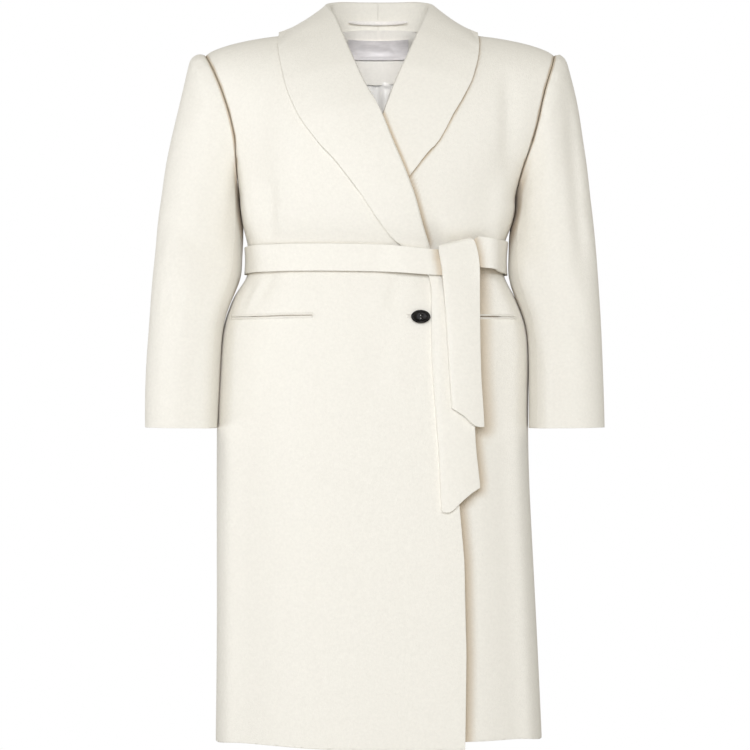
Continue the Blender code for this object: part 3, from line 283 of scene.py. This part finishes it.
def side_at(rows, points):
    """How far out the named edge is at each point's height and side."""
    heights = [row["z"] for row in reversed(rows)]
    right = np.interp(points[:, 2], heights, [row["right"] for row in reversed(rows)])
    left = np.interp(points[:, 2], heights, [row["left"] for row in reversed(rows)])
    return np.where(points[:, 0] < 0, right, left)


def fuller(points, rows, way, fullness):
    """Brings the cloth forward just inside an edge; way is 1 where the piece lies inside it."""
    inside = way * (side_at(rows, points) - np.abs(points[:, 0]))
    out = fullness["out"] * np.exp(-((inside - fullness["inside"]) / fullness["width"]) ** 2)
    out *= smooth((fullness["top"] - points[:, 2]) / fullness["soft"])
    out *= smooth((-points[:, 1] - FULLNESS_START["depth"]) / FULLNESS_START["soft"])
    return points - np.outer(out, (0.0, 1.0, 0.0))


def press_body(points):
    """Moves the points of what lies on the body with the body's folds."""
    front = points[:, 1] < 0
    depth = np.where(front, fold_field(points, FRONT_FOLDS), fold_field(points, BACK_FOLDS))
    return fuller(points + body_out(points) * depth[:, None], BODY_SIDES, 1, BODY_FULLNESS)


def press_left_front(points):
    """Moves the points of the left front with the body's folds and its own."""
    shift = fold_field(points, LEFT_FRONT_FOLDS)
    return press_body(points) + body_out(points) * shift[:, None]


def press_right_front(points):
    """Moves the points of the right front with the body's folds and its own."""
    front = points[:, 1] < 0
    shift = np.where(front, fold_field(points, RIGHT_FRONT_FOLDS), 0)
    return press_body(points) - np.outer(shift, (0.0, 1.0, 0.0))


def press_belt_end(points):
    """Moves the points of a free end with the right front, and presses its left edge."""
    shift = fold_field(points, BELT_END_FOLDS)
    return press_right_front(points) - np.outer(shift, (0.0, 1.0, 0.0))


def press_button(points):
    return press_right_front(points) + BUTTON_SHIFT


def press_sleeve(points):
    """Moves the points of a sleeve with its folds, the same ones softly on its back."""
    folds = np.where(points[:, 0] < 0, fold_field(points, RIGHT_SLEEVE_FOLDS),
                     fold_field(points, LEFT_SLEEVE_FOLDS))
    soft, back = SLEEVE_TURN["soft"], SLEEVE_TURN["back"]
    way = np.where(points[:, 1] < 0, -smooth(-points[:, 1] / soft),
                   SLEEVE_TURN["back_share"] * smooth((points[:, 1] - back) / soft))
    moved = points + np.outer(folds * way, (0.0, 1.0, 0.0))
    return fuller(moved, SLEEVE_SIDES, -1, SLEEVE_FULLNESS)


def press_lining(points):
    shift = fold_field(points, LINING_FOLDS) * (points[:, 1] > LINING_BACK)
    return points - np.outer(shift, (0.0, 1.0, 0.0))


def press_label(points):
    return points - np.outer(fold_field(points, LABEL_FOLDS), (0.0, 1.0, 0.0))


# ---- meshes ----
def mesh_points(data):
    points = np.empty(len(data.vertices) * 3)
    data.vertices.foreach_get("co", points)
    return points.reshape(-1, 3)


def set_points(data, points):
    data.vertices.foreach_set("co", points.ravel())
    data.update()


def apply_modifiers(piece):
    """The finished shape becomes the piece's own mesh."""
    shape = piece.evaluated_get(bpy.context.evaluated_depsgraph_get())
    data = bpy.data.meshes.new_from_object(shape)
    old = piece.data
    piece.modifiers.clear()
    piece.data = data
    data.name = piece.name
    bpy.data.meshes.remove(old)


def add_piece(name, mesh, material):
    data = bpy.data.meshes.new(name)
    mesh.to_mesh(data)
    mesh.free()
    data.shade_smooth()
    data.materials.append(material)
    piece = bpy.data.objects.new(name, data)
    bpy.context.scene.collection.objects.link(piece)
    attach(piece, BODY)
    return piece


def tree_of(data, flat=False):
    """A search tree of a mesh, or of its outline as seen from the front."""
    mesh = bmesh.new()
    mesh.from_mesh(data)
    if flat:
        bmesh.ops.scale(mesh, vec=(1, 0, 1), verts=mesh.verts)
    tree = BVHTree.FromBMesh(mesh)
    mesh.free()
    return tree


def seen_from_front(tree, x, z):
    """The first place of a mesh that a look from the front meets, or None."""
    return tree.ray_cast(Vector((x, -1, z)), Vector((0, 1, 0)))[0]


def keep_near(points, tree):
    """Brings points that a cut edge's smoothing drew out back to the wall."""
    for at, point in enumerate(points):
        spot = Vector(point)
        near, _, _, away = tree.find_nearest(spot)
        if away > EDGE_REACH:
            points[at] = near + (spot - near) * (EDGE_REACH / away)
    return points


def painted_shades_of(node):
    """The painted-shade rows for one piece: its own, and one for each seam that it lies at."""
    seams = list(SEAM_PAINTED_SHADES)
    for row in ARMHOLE_PAINTED_SHADES:
        seams += [dict(row, one=row["panel"] + side, other=sleeve + side)
                  for side in ("right", "left") for sleeve in SLEEVES]
    rows = [row for row in PAINTED_SHADES if row["piece"] == node]
    for row in seams:
        if node in (row["one"], row["other"]):
            beside = row["other"] if node == row["one"] else row["one"]
            rows.append(dict(row, beside=beside, over=0, highest=PAINTED_SHADE_TOP))
    return rows


def mark_painted_shades(piece, node):
    """Writes how much painted shade each point gets, from 0 to 1, by how deep in a crease or
    under a layer it is.
    """
    points = mesh_points(piece.data)
    shade = np.zeros(len(points))
    for row in painted_shades_of(node):
        tree = tree_of(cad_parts[row["beside"]].data, row["over"])
        z = points[:, 2]
        soft = PAINTED_SHADE_SOFT if row["over"] else max(PAINTED_SHADE_SOFT, PAINTED_SHADE_SPREAD * row["far"])
        weight = smooth((row["highest"] - z) / soft) * smooth((z - row["lowest"]) / soft)
        if row["over"]:
            weight *= points[:, 1] < 0
        away = np.full(len(points), PAINTED_SHADE_REACH)
        for at in np.flatnonzero(weight):
            spot = points[at] * (1, 0, 1) if row["over"] else points[at]
            found = tree.find_nearest(Vector(spot), PAINTED_SHADE_REACH)
            if found[3] is not None:
                away[at] = found[3]
        depth = 1 - smooth((away - row["close"]) / (row["far"] - row["close"]))
        shade = np.maximum(shade, row["strength"] * weight * depth)
    # The painted shade is kept on the mesh for the wool's colour to read.
    mark = piece.data.attributes.new("crease", "FLOAT", "POINT")
    mark.data.foreach_set("value", shade)


def finer_wall(node, material, levels, edge, press=None):
    """A finer copy of one of the frame's walls, with soft edges, which stands for it."""
    mesh = bmesh.new()
    mesh.from_mesh(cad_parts[node].data)
    bmesh.ops.remove_doubles(mesh, verts=mesh.verts, dist=MERGE)
    bmesh.ops.join_triangles(mesh, faces=mesh.faces, angle_face_threshold=JOIN_ANGLES["face"],
                             angle_shape_threshold=JOIN_ANGLES["shape"])
    rims = [rim for rim in mesh.edges if rim.calc_face_angle(0) > RIM_ANGLE]
    if edge > 0:
        bmesh.ops.bevel(mesh, geom=rims, offset=edge, offset_type="OFFSET",
                        segments=RIM_SEGMENTS, profile=0.5, affect="EDGES", material=-1,
                        clamp_overlap=True)
    piece = add_piece("coat_" + node, mesh, bpy.data.materials[material])
    wanted = mesh_points(piece.data)
    fine = piece.modifiers.new("finer", "SUBSURF")
    fine.levels = fine.render_levels = 1
    for _ in range(PASSES):
        shape = piece.evaluated_get(bpy.context.evaluated_depsgraph_get())
        reached = mesh_points(shape.data)[:len(wanted)]
        set_points(piece.data, mesh_points(piece.data) + wanted - reached)
    fine.levels = fine.render_levels = levels
    apply_modifiers(piece)
    points = keep_near(mesh_points(piece.data), tree_of(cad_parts[node].data))
    set_points(piece.data, press(points) if press else points)
    # Paints shade into the piece's creases and under the layers that lie over it.
    mark_painted_shades(piece, node)
    piece.data.shade_smooth()
    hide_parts(node)
    return piece


def press_lip(panel, panel_press, upper):
    """A press for one pocket lip: it rolls into the slot and thins into the front beside it."""
    tree = tree_of(panel.data)

    def press(points):
        line = np.polyfit(points[:, 0], points[:, 2], 1)
        high = points[:, 2] - np.polyval(line, points[:, 0])
        share = (high - high.min()) / (high.max() - high.min())
        share = share if upper else 1 - share          # 0 at the slot, 1 at the outer edge
        keep = 1 + (LIP_SLOT_LOW - 1) * (1 - smooth(share / LIP_SLOT_ROLL))
        keep *= 1 + (LIP_OUTER - 1) * smooth((share - LIP_SLOT_ROLL) / (1 - LIP_SLOT_ROLL))
        moved = panel_press(points)
        for at, point in enumerate(moved):
            hit = seen_from_front(tree, point[0], point[2])
            if hit is not None:
                moved[at, 1] = hit.y - max(hit.y - point[1], 0) * keep[at]
        return moved
    return press


def beads(name, places, size, material):
    """Small rounded stitches joined in one mesh; each place is a point and a turn."""
    mesh = bmesh.new()
    for place, turn in places:
        made = bmesh.ops.create_uvsphere(mesh, u_segments=BEAD["round"], v_segments=BEAD["along"],
                                         radius=1.0)["verts"]
        bmesh.ops.scale(mesh, vec=size, verts=made)
        bmesh.ops.rotate(mesh, cent=(0, 0, 0), matrix=turn, verts=made)
        bmesh.ops.translate(mesh, vec=place, verts=made)
    return add_piece(name, mesh, bpy.data.materials[material])


# ---- materials ----
def new_material(name, roughness, specular, sheen):
    material = bpy.data.materials.new(name)
    material.use_nodes = True
    tree = material.node_tree
    shader = tree.nodes["Principled BSDF"]
    shader.inputs["Roughness"].default_value = roughness
    shader.inputs["Specular IOR Level"].default_value = specular
    shader.inputs["Sheen Weight"].default_value = sheen
    return material, tree, shader


def cloud(tree, place, scale, detail):
    """A noise texture over a place."""
    made = tree.nodes.new("ShaderNodeTexNoise")
    made.inputs["Scale"].default_value = scale
    made.inputs["Detail"].default_value = detail
    tree.links.new(place, made.inputs["Vector"])
    return made


def two_tones(tree, share, dark, light, start, end):
    """From the dark tone to the light one."""
    ramp = tree.nodes.new("ShaderNodeValToRGB")
    for stop, position, colour in zip(ramp.color_ramp.elements, (start, end), (dark, light)):
        stop.position = position
        stop.color = (*[min(part, 1.0) for part in colour], 1)
    tree.links.new(share, ramp.inputs["Fac"])
    return ramp.outputs["Color"]


def relief(tree, height, strength, distance, normal=None):
    """Raised where the height is high."""
    bump = tree.nodes.new("ShaderNodeBump")
    bump.inputs["Strength"].default_value = strength
    bump.inputs["Distance"].default_value = distance
    tree.links.new(height, bump.inputs["Height"])
    if normal:
        tree.links.new(normal, bump.inputs["Normal"])
    return bump


def wool_material(name, colour, nap):
    """Napped wool: short raised fibres, a soft mottle, a dull sheen and painted brown shade in
    the creases and under layers.
    """
    material, tree, shader = new_material(name, WOOL["roughness"], WOOL["specular"],
                                          WOOL["sheen"])
    shader.inputs["Sheen Roughness"].default_value = WOOL["sheen_roughness"]
    place = tree.nodes.new("ShaderNodeTexCoord").outputs["Object"]
    mottle = cloud(tree, place, MOTTLE["scale"], MOTTLE["detail"])
    tone = two_tones(tree, mottle.outputs["Fac"], [part * MOTTLE["dark"] for part in colour],
                     [part * MOTTLE["light"] for part in colour], MOTTLE["start"], MOTTLE["end"])
    # Painted shade: the brown tint is multiplied into the wool's colour by each point's mark.
    crease = tree.nodes.new("ShaderNodeAttribute")
    crease.attribute_name = "crease"
    shade = tree.nodes.new("ShaderNodeMix")
    shade.data_type = "RGBA"
    shade.blend_type = "MULTIPLY"
    shade.inputs["B"].default_value = (*PAINTED_SHADE_TINT, 1)
    tree.links.new(crease.outputs["Fac"], shade.inputs["Factor"])
    tree.links.new(tone, shade.inputs["A"])
    tree.links.new(shade.outputs["Result"], shader.inputs["Base Color"])
    dip = relief(tree, crease.outputs["Fac"], CREASE_DIP["strength"], CREASE_DIP["depth"])
    dip.invert = True
    grain = cloud(tree, place, NAP["scale"], NAP["detail"])
    grain.inputs["Roughness"].default_value = NAP["roughness"]
    bump = relief(tree, grain.outputs["Fac"], NAP["strength"], nap, dip.outputs["Normal"])
    tree.links.new(bump.outputs["Normal"], shader.inputs["Normal"])
    return material


def smooth_material(name, dark, light, grain, rough, bump, sheen=0.0, specular=0.5):
    """A close surface: two near tones and a fine relief, both drawn out along grain's axes."""
    material, tree, shader = new_material(name, rough, specular, sheen)
    drawn = tree.nodes.new("ShaderNodeMapping")
    drawn.inputs["Scale"].default_value = grain
    tree.links.new(tree.nodes.new("ShaderNodeTexCoord").outputs["Object"], drawn.inputs["Vector"])
    look = cloud(tree, drawn.outputs["Vector"], 1.0, SMOOTH_CLOUD["detail"])
    tone = two_tones(tree, look.outputs["Fac"], dark, light, SMOOTH_CLOUD["start"],
                     SMOOTH_CLOUD["end"])
    tree.links.new(tone, shader.inputs["Base Color"])
    raised = relief(tree, look.outputs["Fac"], SMOOTH_CLOUD["strength"], bump)
    tree.links.new(raised.outputs["Normal"], shader.inputs["Normal"])
    return material


# ---- settings ----
class CoatCloth(bpy.types.PropertyGroup):
    """Sizes of the cloth's finish"""
    edge: FloatProperty(name="Edge roundness", description="How round the cut edges are",
                        default=0.0011, min=0.0, unit="LENGTH")
    levels: IntProperty(name="Fineness", description="Times each wall is made finer", default=3)
    nap: FloatProperty(name="Nap", description="Height of the raised fibres",
                       default=0.0010, unit="LENGTH")


class CoatColours(bpy.types.PropertyGroup):
    """Colours of the cloth and the button"""
    wool: FloatVectorProperty(name="Wool", description="Colour of the coating", subtype="COLOR",
                              default=(0.898, 0.865, 0.788))
    # Lighter than the coat's wool, of which the facing is made: painted light for the shaded
    # inside of the neck.
    facing: FloatVectorProperty(name="Facing", description="Colour of the neck facing",
                                subtype="COLOR", default=(0.92, 0.89, 0.83))
    lining: FloatVectorProperty(name="Lining", description="Colour of the satin lining",
                                subtype="COLOR", default=(0.94, 0.92, 0.89))
    label: FloatVectorProperty(name="Label", description="Colour of the bare label",
                               subtype="COLOR", default=(0.80, 0.77, 0.78))
    loop: FloatVectorProperty(name="Loop", description="Colour of the hanger loop",
                              subtype="COLOR", default=(0.94, 0.90, 0.86))
    thread: FloatVectorProperty(name="Thread", description="Colour of the sewing thread",
                                subtype="COLOR", default=(0.90, 0.88, 0.84))
    # The dark brown in the buttonhole's slit is painted shade.
    slit: FloatVectorProperty(name="Slit", description="Colour inside the buttonhole",
                              subtype="COLOR", default=(0.20, 0.14, 0.09))
    button: FloatVectorProperty(name="Button", description="Colour of the button",
                                subtype="COLOR", default=(0.012, 0.011, 0.010))


class StageLights(bpy.types.PropertyGroup):
    """The camera and lights"""
    power: FloatProperty(name="Power", description="Power of all the lamps, in watts for a share "
                         "of one", default=215.0)
    neck: FloatProperty(name="Neck lamp", description="Power of the lamp that reaches into the "
                        "neck", default=1.2)
    lamp_colour: FloatVectorProperty(name="Lamp colour", description="Colour of the lamps",
                                     subtype="COLOR", default=(0.95, 0.985, 1.06))
    sky: FloatProperty(name="Sky", description="Strength of the light from all round",
                       default=0.34)
    sky_colour: FloatVectorProperty(name="Sky colour", description="Colour of the light from all "
                                    "round", subtype="COLOR", default=(1.0, 0.935, 0.76))
    distance: FloatProperty(name="Camera distance", description="From the coat's middle",
                            default=3.8, unit="LENGTH")
    lens: FloatProperty(name="Lens", description="Focal length in millimetres", default=125.8)


class COAT_OT_body(bpy.types.Operator):
    """Make the fronts and the back"""
    bl_idname = "coat.body"
    bl_label = "Fronts and back"

    def execute(self, context):
        cloth = context.scene.coat_cloth
        for node, coarser, press in (("front_right", 0, press_right_front),
                                     ("front_left", 0, press_left_front),
                                     ("back_right", 1, press_body), ("back_left", 1, press_body)):
            piece = finer_wall(node, "coat wool", cloth.levels - coarser, cloth.edge, press)
        return {"FINISHED"}


class COAT_OT_sleeves(bpy.types.Operator):
    """Make the two-piece sleeves"""
    bl_idname = "coat.sleeves"
    bl_label = "Sleeves"

    def execute(self, context):
        cloth = context.scene.coat_cloth
        for side in ("right", "left"):
            for coarser, sleeve in enumerate(SLEEVES):
                piece = finer_wall(sleeve + side, "coat wool", cloth.levels - coarser, cloth.edge,
                                   press_sleeve)
        return {"FINISHED"}


class COAT_OT_collar(bpy.types.Operator):
    """Make the shawl collar"""
    bl_idname = "coat.collar"
    bl_label = "Collar"

    def execute(self, context):
        cloth = context.scene.coat_cloth
        for node in ("collar_right", "collar_left"):
            piece = finer_wall(node, "coat wool", cloth.levels, cloth.edge, press_body)
        return {"FINISHED"}


class COAT_OT_belt(bpy.types.Operator):
    """Make the belt and its two free ends"""
    bl_idname = "coat.belt"
    bl_label = "Belt"

    def execute(self, context):
        cloth = context.scene.coat_cloth
        for node, press in (("belt_wrap", press_body), ("belt_upper_end", press_belt_end),
                            ("belt_lower_end", press_belt_end)):
            piece = finer_wall(node, "coat belt wool", cloth.levels - 1, cloth.edge, press)
        return {"FINISHED"}


class COAT_OT_pockets(bpy.types.Operator):
    """Make the lips of the two jetted pockets"""
    bl_idname = "coat.pockets"
    bl_label = "Pockets"

    def execute(self, context):
        presses = {"right": press_right_front, "left": press_left_front}
        for side, press in presses.items():
            panel = bpy.data.objects["coat_front_" + side]
            for place in ("upper", "lower"):
                node = "pocket_%s_lip_%s" % (place, side)
                piece = finer_wall(node, "coat wool", 2, LIP_EDGE,
                                   press_lip(panel, press, place == "upper"))
        return {"FINISHED"}


class COAT_OT_button(bpy.types.Operator):
    """Make the button with its thread, and the worked buttonhole"""
    bl_idname = "coat.button"
    bl_label = "Button and buttonhole"

    def execute(self, context):
        button = finer_wall("button", "coat button", 2, BUTTON_EDGE, press_button)
        x, z = BUTTON_CENTRE
        face = seen_from_front(tree_of(button.data), x, z)
        level = Matrix.Identity(3)
        places = [(face + Vector((row["aside"], row["deep"], row["high"] * BUTTON_HOLES_APART)),
                   level) for row in THREADS]
        thread = beads("coat_button_thread", places, THREAD_SIZE, "coat thread")

        bead = finer_wall("buttonhole", "coat wool", 2, 0, press_right_front)
        front = tree_of(bpy.data.objects["coat_front_right"].data)

        def on_front(x, z, out):
            return seen_from_front(front, x, z) - Vector((0, out, 0))

        # A dark bead in the buttonhole's slit: painted shade where it opens.
        slit = beads("coat_buttonhole_slit",
                     [(on_front(SLIT["x"], SLIT["z"], SLIT["deep"] / 2), level)],
                     (SLIT["half"], SLIT["deep"], SLIT["high"]), "coat slit")
        places = []
        for at in range(STITCHES["count"]):
            angle = math.tau * at / STITCHES["count"]
            x = SLIT["x"] + STITCHES["aside"] + STITCHES["half"] * math.cos(angle)
            z = SLIT["z"] + STITCHES["gap"] * math.sin(angle)
            turn = Matrix.Rotation(-angle, 3, "Y")
            places.append((on_front(x, z, STITCHES["out"]), turn))
        stitches = beads("coat_buttonhole_stitches", places,
                         (STITCHES["thick"], STITCHES["thick"], STITCHES["long"]), "coat thread")
        return {"FINISHED"}


class COAT_OT_neck_inside(bpy.types.Operator):
    """Make what shows inside the neck: facing, lining, label and hanger loop"""
    bl_idname = "coat.neck_inside"
    bl_label = "Inside of the neck"

    def execute(self, context):
        rows = (("back_neck_facing", "coat facing", "facing_wool", FACING_EDGE, None, 2),
                ("back_lining", "coat lining", "lining_satin", SATIN_EDGE, press_lining, 2),
                ("label", "coat label", "label_satin", SATIN_EDGE, press_label, 3))
        for node, material, slot, edge, press, levels in rows:
            piece = finer_wall(node, material, levels, edge, press)

        # The loop is a flat covered cord, broad in its middle and drawn to a point at each end.
        low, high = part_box("hanger_loop")
        mesh = bmesh.new()
        made = bmesh.ops.create_uvsphere(mesh, u_segments=LOOP["round"], v_segments=LOOP["along"],
                                         radius=1.0)["verts"]
        bmesh.ops.rotate(mesh, cent=(0, 0, 0), matrix=Matrix.Rotation(math.pi / 2, 3, "Y"),
                         verts=made)
        for vert in mesh.verts:
            along, deep, rise = vert.co
            full = math.sqrt(max(1 - along * along, 0.0)) or 1.0
            blunt = full ** -LOOP["blunt"]
            bend = abs(along) ** LOOP["bend"] * (high[1] - low[1] - 2 * LOOP["deep"])
            vert.co = ((low[0] + high[0]) / 2 + LOOP["half"] * along,
                       high[1] - LOOP["deep"] - LOOP["out"] - bend + LOOP["deep"] * deep * blunt,
                       LOOP["z"] + LOOP["high"] * rise * blunt)
        loop = add_piece("coat_hanger_loop", mesh, bpy.data.materials["coat loop"])
        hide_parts("hanger_loop")
        return {"FINISHED"}


class COAT_OT_materials(bpy.types.Operator):
    """Make the wools, the satins, the threads and the button's horn"""
    bl_idname = "coat.materials"
    bl_label = "Materials"

    def execute(self, context):
        cloth, colours = context.scene.coat_cloth, context.scene.coat_colours
        wool_material("coat wool", colours.wool, cloth.nap)
        wool_material("coat belt wool", colours.wool, cloth.nap * BELT_NAP)
        # A lighter copy of the coat's wool: painted light for the shaded inside of the neck.
        wool_material("coat facing", colours.facing, cloth.nap * FACING_NAP)
        for row in SMOOTH_LOOKS:
            colour = getattr(colours, row["name"])
            smooth_material("coat " + row["name"], [part * row["dark"] for part in colour],
                            [part * row["light"] for part in colour], row["grain"], row["rough"],
                            row["bump"], row["sheen"], row["specular"])
        return {"FINISHED"}


def add_lamp(name, kind, energy, colour, place, way):
    """A lamp at a place that shines along a way."""
    lamp = bpy.data.lights.new(name, kind)
    lamp.energy = energy
    lamp.color = colour
    piece = bpy.data.objects.new(name, lamp)
    piece.location = place
    piece.rotation_euler = way.to_track_quat("-Z", "Y").to_euler()
    bpy.context.scene.collection.objects.link(piece)
    return piece


class COAT_OT_stage(bpy.types.Operator):
    """Make the floor, the lights and the camera"""
    bl_idname = "coat.stage"
    bl_label = "Stage"

    def execute(self, context):
        lights = context.scene.coat_lights
        scene = context.scene
        scene.view_settings.view_transform = "Standard"
        world = bpy.data.worlds.new("studio")
        world.use_nodes = True
        scene.world = world
        tree = world.node_tree
        sky = tree.nodes["Background"]
        sky.inputs["Color"].default_value = (*lights.sky_colour, 1)
        sky.inputs["Strength"].default_value = lights.sky
        paper = tree.nodes.new("ShaderNodeBackground")
        paper.inputs["Color"].default_value = (1, 1, 1, 1)
        seen = tree.nodes.new("ShaderNodeLightPath")
        either = tree.nodes.new("ShaderNodeMixShader")
        tree.links.new(seen.outputs["Is Camera Ray"], either.inputs["Fac"])
        tree.links.new(sky.outputs["Background"], either.inputs[1])
        tree.links.new(paper.outputs["Background"], either.inputs[2])
        tree.links.new(either.outputs["Shader"], tree.nodes["World Output"].inputs["Surface"])

        for row in LAMPS:
            turn, rise = math.radians(row["turn"]), math.radians(row["rise"])
            away = Vector((math.sin(turn) * math.cos(rise), -math.cos(turn) * math.cos(rise),
                           math.sin(rise)))
            lamp = add_lamp("lamp", "AREA", lights.power * row["share"], lights.lamp_colour,
                            Vector(COAT_MIDDLE) + away * LAMP_DISTANCE, -away)
            lamp.data.shape = "SQUARE"
            lamp.data.size = row["size"]
        lamp = add_lamp("neck lamp", "SPOT", lights.neck, NECK_LAMP["colour"],
                        NECK_LAMP["place"], Vector(NECK_LAMP["aim"]) - Vector(NECK_LAMP["place"]))
        lamp.data.shadow_soft_size = NECK_LAMP["size"]
        lamp.data.spot_size = NECK_LAMP["cone"]
        lamp.data.spot_blend = NECK_LAMP["blend"]
        lamp.visible_camera = False

        mesh = bmesh.new()
        bmesh.ops.create_grid(mesh, x_segments=1, y_segments=1, size=FLOOR["half"])
        for vert in mesh.verts:
            vert.co.z = FLOOR["z"]
        data = bpy.data.meshes.new("floor")
        mesh.to_mesh(data)
        mesh.free()
        data.materials.append(smooth_material("floor", FLOOR["dark"], FLOOR["light"],
                                              FLOOR["grain"], FLOOR["rough"], FLOOR["bump"]))
        floor = bpy.data.objects.new("floor", data)
        scene.collection.objects.link(floor)

        lens = bpy.data.cameras.new("camera")
        lens.lens = lights.lens
        camera = bpy.data.objects.new("camera", lens)
        camera.location = (CAMERA_X, -lights.distance, CAMERA_Z)
        camera.rotation_euler = (math.pi / 2, 0, 0)
        scene.collection.objects.link(camera)
        scene.camera = camera
        return {"FINISHED"}


class COAT_PT_panel(bpy.types.Panel):
    """The steps that make the coat"""
    bl_label = "Wrap coat"
    bl_idname = "COAT_PT_panel"
    bl_space_type = "VIEW_3D"
    bl_region_type = "UI"
    bl_category = "Coat"

    def draw(self, context):
        for step in STEPS:
            self.layout.operator(step.bl_idname)


STEPS = (COAT_OT_materials, COAT_OT_body, COAT_OT_sleeves, COAT_OT_collar, COAT_OT_belt,
         COAT_OT_pockets, COAT_OT_button, COAT_OT_neck_inside, COAT_OT_stage)
SETTINGS = {"coat_cloth": CoatCloth, "coat_colours": CoatColours, "coat_lights": StageLights}


def register():
    for made in (*SETTINGS.values(), *STEPS, COAT_PT_panel):
        bpy.utils.register_class(made)
    for name, group in SETTINGS.items():
        setattr(bpy.types.Scene, name, PointerProperty(type=group))


def unregister():
    for name in SETTINGS:
        delattr(bpy.types.Scene, name)
    for made in reversed((*SETTINGS.values(), *STEPS, COAT_PT_panel)):
        bpy.utils.unregister_class(made)


def main():
    register()
    bpy.ops.coat.materials()
    bpy.ops.coat.body()
    bpy.ops.coat.sleeves()
    bpy.ops.coat.collar()
    bpy.ops.coat.belt()
    bpy.ops.coat.pockets()
    bpy.ops.coat.button()
    bpy.ops.coat.neck_inside()
    bpy.ops.coat.stage()


if __name__ == "__main__":
    main()
